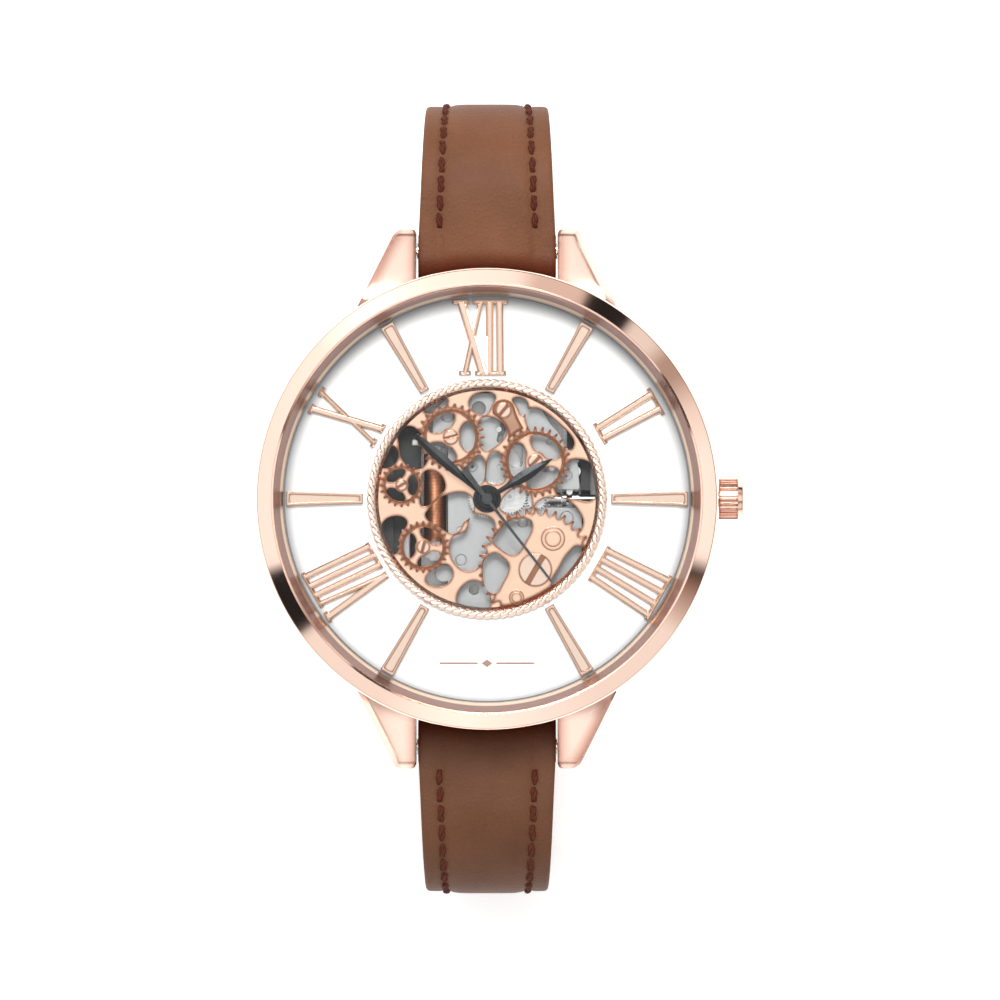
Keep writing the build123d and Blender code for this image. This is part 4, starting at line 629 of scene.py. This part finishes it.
def nose(angle, x, half):
    """Distance from the bar to the leather folded round it, at an angle from outward and up.

    The leather fills the gap to the case and follows the case's round side."""
    case_gap = BAR_Y - math.sqrt(19.46 ** 2 - x ** 2)
    turned = -math.degrees(angle)
    if turned <= 90:
        reach = 1.5
    elif turned <= 180:
        t = (turned - 90) / 90
        reach = 1.5 + (case_gap - 1.5) * t * t * (3 - 2 * t)
    else:
        t = (270 - turned) / 90
        top = TOP_Z - BAR_Z + top_height(x, half)
        reach = top + (case_gap - top) * t * t * (3 - 2 * t)
    inward = min(half - abs(x), 0.5) / 0.5
    round_off = 0.3 * (1 - math.sqrt(max(0.0, 1 - (1 - inward) ** 2)))
    return reach - round_off * abs(math.cos(angle))


def rolled_end(points, faces, y, z, radius, start, stop):
    """Leather folded round a bar that runs along X, with eased edges."""
    sides, ease = 48, 0.3
    first = len(points)
    for x, r in ((start, radius - ease), (start + 0.1, radius - 0.12), (start + ease, radius),
                 (stop - ease, radius), (stop - 0.1, radius - 0.12), (stop, radius - ease)):
        for k in range(sides):
            a = 2 * math.pi * k / sides
            points.append((x, y + r * math.cos(a), z + r * math.sin(a)))
    for i in range(5):
        for k in range(sides):
            a0, a1 = first + i * sides + k, first + i * sides + (k + 1) % sides
            faces.append((a0, a1, a1 + sides, a0 + sides))
    faces.append(tuple(first + k for k in reversed(range(sides))))
    faces.append(tuple(first + 5 * sides + k for k in range(sides)))


def strap_layer(name, side, body, hide):
    """The upper leather as one closed mesh: padded outer face, rounded edges, flat underside.

    The points across the strap lie closer together near its edges."""
    path = strap_path(side)
    total = path[-1][4]
    across = 56
    points, faces = [], []
    for step in range(67):
        angle = math.radians(-3 - 4 * step)
        half = strap_width(0, total) / 2
        out_y, out_z = math.cos(angle), math.sin(angle)
        for k in range(across + 1):
            x = -half * math.cos(math.pi * k / across)
            reach = nose(angle, x, half)
            points.append((x, side * (BAR_Y + out_y * reach), BAR_Z + out_z * reach))
        for k in range(across + 1):
            x = half * math.cos(math.pi * k / across)
            points.append((x, side * (BAR_Y + out_y * 0.6), BAR_Z + out_z * 0.6))
    for y, z, oy, oz, run in path:
        half = strap_width(run, total) / 2
        if side < 0 and run > total - 6.5:
            half = min(half, math.sqrt(max(0.01, 6.5 ** 2 - (run - total + 6.5) ** 2)))
        for k in range(across + 1):
            x = -half * math.cos(math.pi * k / across)
            up = top_height(x, half)
            points.append((x, y + oy * up, max(0.0, z + oz * up)))
        for k in range(across + 1):
            x = half * math.cos(math.pi * k / across)
            points.append((x, y - UNDERSIDE * oy, z - UNDERSIDE * oz))
    ring = 2 * (across + 1)
    rings = len(points) // ring
    for i in range(rings - 1):
        for k in range(ring):
            a0, a1 = i * ring + k, i * ring + (k + 1) % ring
            b0, b1 = a0 + ring, a1 + ring
            faces.append((a0, b0, b1, a1) if side > 0 else (a0, a1, b1, b0))
    faces.append(tuple(range(ring)) if side > 0 else tuple(reversed(range(ring))))
    end = (rings - 1) * ring
    faces.append(tuple(end + k for k in (reversed(range(ring)) if side > 0 else range(ring))))
    if side > 0:
        bar_y = path[-1][0] - math.cos(CURL)
        bar_z = path[-1][1] + math.sin(CURL)
        for start, stop in ((-4.9, -0.85), (0.85, 4.9)):
            rolled_end(points, faces, bar_y, bar_z, 1.3, start, stop)
    return piece(name, points, faces, hide, body)


def stitch_row(name, side, body, first, last):
    """Twisted two-ply thread sewn along both edges of the strap."""
    path = strap_path(side)
    total = path[-1][4]
    points, faces = [], []
    pitch, length = 1.5, 1.2

    def at(run, x, up):
        for here, ahead in zip(path, path[1:]):
            if run <= ahead[4]:
                t = (run - here[4]) / (ahead[4] - here[4])
                y, z, oy, oz = (here[i] + t * (ahead[i] - here[i]) for i in range(4))
                return (x, y + oy * up, max(0.13, z + oz * up))
        return None

    for edge in (-1, 1):
        run = first
        count = 0
        while run + length < min(last, total - 1):
            slant = 0.10 * edge
            for ply in (0, math.pi):
                line = []
                for i in range(13):
                    t = i / 12
                    spot = run + t * length
                    half = strap_width(spot, total) / 2
                    twist = ply + 5.5 * t + count
                    x = edge * (half - SEAM) + slant * (t - 0.5) + 0.12 * math.cos(twist)
                    rise = 0.12 - 0.36 * abs(2 * t - 1) ** 5 + 0.07 * math.sin(twist)
                    line.append(at(spot, x, top_height(half - SEAM, half) + rise))
                tube(points, faces, line, 0.17, sides=8)
            run += pitch
            count += 1
    piece(name, points, faces, thread, body)


upper_12 = strap_layer("strap_upper_leather", 1, "strap_upper", brown)
upper_6 = strap_layer("strap_lower_leather", -1, "strap_lower", brown_shaded)
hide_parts("strap_12")
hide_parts("strap_6")
stitch_row("strap_upper_thread", 1, "strap_upper", 1.6, 68.0)
stitch_row("strap_lower_thread", -1, "strap_lower", 1.6, 82.0)


# ---------------------------------------------------------------- light, floor and camera
def flat_shape(name, corners, material):
    """A four-cornered sheet of the studio, not part of the watch. Corners are in metres."""
    mesh = bpy.data.meshes.new(name)
    mesh.from_pydata(corners, [], [(0, 1, 2, 3)])
    made = bpy.data.objects.new(name, mesh)
    bpy.context.scene.collection.objects.link(made)
    mesh.materials.append(material)


floor_white = plain("floor_white", (0.92, 0.92, 0.92), (0.94, 0.94, 0.94), 0.8, bump=0.02, scale=40)
floor_shader = floor_white.node_tree.nodes["Principled BSDF"]
floor_shader.inputs["Emission Color"].default_value = (1, 1, 1, 1)
floor_shader.inputs["Emission Strength"].default_value = 0.35
flat_shape("floor", [(-2, -2, 0), (2, -2, 0), (2, 2, 0), (-2, 2, 0)], floor_white)

# Panels that stand round the watch: compass angle from +X, and the light that comes from there.
# Between the white panels stand two black flags and the tan edges of the table.
PANELS = (
    (-180, 1.2, 1), (-163, 1.2, 1), (-161, 0.02, 1), (-145, 0.02, 1), (-143, 1.02, 1),
    (-118, 1.02, 1), (-106, 1.3, 1), (-96, 1.4, 1), (-84, 1.25, 1), (-70, 1.1, 1), (-60, 1.0, 1),
    (-36, 1.0, 1), (-31, 0.7, 0.9), (-24, 0.35, 0.7), (-19, 0.03, 0.7), (-15, 1.2, 1),
    (12, 1.2, 1), (24, 0.95, 0.96), (33, 0.5, 0.8), (38, 0.5, 0.8), (43, 0.9, 1),
    (50, 0.9, 1), (52, 0.02, 1), (63, 0.02, 1), (65, 0.8, 0.88), (77, 0.8, 0.88),
    (83, 1.2, 1), (105, 1.4, 1), (122, 1.9, 1), (138, 1.3, 1), (165, 1.2, 1),
)
world = bpy.data.worlds.new("studio")
bpy.context.scene.world = world
world.use_nodes = True
sky = world.node_tree
direction = sky.nodes.new("ShaderNodeTexCoord")
split = sky.nodes.new("ShaderNodeSeparateXYZ")
sky.links.new(direction.outputs["Generated"], split.inputs["Vector"])
compass = sky.nodes.new("ShaderNodeMath")
compass.operation = "ARCTAN2"
sky.links.new(split.outputs["Y"], compass.inputs[0])
sky.links.new(split.outputs["X"], compass.inputs[1])
turn = remap(sky, compass.outputs["Value"], -math.pi, math.pi)


def around(stops):
    """A ramp of light by compass angle; the warmth is green and blue as a share of red."""
    made = sky.nodes.new("ShaderNodeValToRGB")
    sky.links.new(turn.outputs["Result"], made.inputs["Fac"])
    set_stops(made, [((angle + 180) / 360,
                      (level, level * warm, level * warm * (0.5 + 0.5 * warm)))
                     for angle, level, warm in stops])
    return made


def band(low, high, below, above):
    """Blends two lights between two heights above the horizon, in degrees."""
    share = remap(sky, split.outputs["Z"], math.sin(math.radians(low)),
                  math.sin(math.radians(high)))
    share.interpolation_type = "SMOOTHSTEP"
    mix = sky.nodes.new("ShaderNodeMixRGB")
    sky.links.new(share.outputs["Result"], mix.inputs["Fac"])
    sky.links.new(below, mix.inputs["Color1"])
    sky.links.new(above, mix.inputs["Color2"])
    return mix.outputs["Color"]


skirt = around(((-180, 0.55, 1), (-40, 0.55, 1), (-22, 0.05, 1), (100, 0.05, 1), (118, 0.5, 1),
                (179, 0.55, 1)))
panels = around(PANELS)
light = band(8, 18, skirt.outputs["Color"], panels.outputs["Color"])
ceiling = remap(sky, split.outputs["Y"], -0.55, 0.55)
ceiling.inputs["To Min"].default_value = 0.72
ceiling.inputs["To Max"].default_value = 1.32
light = band(46, 60, light, ceiling.outputs["Result"])
sky.links.new(light, sky.nodes["Background"].inputs["Color"])
sky.nodes["Background"].inputs["Strength"].default_value = 1.0
bpy.context.scene.view_settings.view_transform = "Standard"


def softbox(name, where, size, power):
    """A square area light that faces the watch."""
    light = bpy.data.lights.new(name, "AREA")
    light.shape = "SQUARE"
    light.size = size
    light.energy = power
    lamp = bpy.data.objects.new(name, light)
    bpy.context.scene.collection.objects.link(lamp)
    lamp.location = where
    lamp.rotation_mode = "QUATERNION"
    lamp.rotation_quaternion = (Vector((0, 0, 0.04)) - Vector(where)).to_track_quat("-Z", "Y")


softbox("key", (-0.02, 0.34, 0.73), 0.26, 4.4)

camera_data = bpy.data.cameras.new("camera")
camera = bpy.data.objects.new("camera", camera_data)
bpy.context.scene.collection.objects.link(camera)
DISTANCE, GLASS_Z, PICTURE_WIDTH, SENSOR = 0.9, 0.0502, 0.0842, 36.0
camera.location = (0.0011, -0.0001, GLASS_Z + DISTANCE)
camera.rotation_euler = (0, 0, 0)
camera_data.sensor_width = SENSOR
camera_data.lens = SENSOR * DISTANCE / PICTURE_WIDTH
camera_data.clip_start = 0.05
camera_data.clip_end = 10
bpy.context.scene.camera = camera
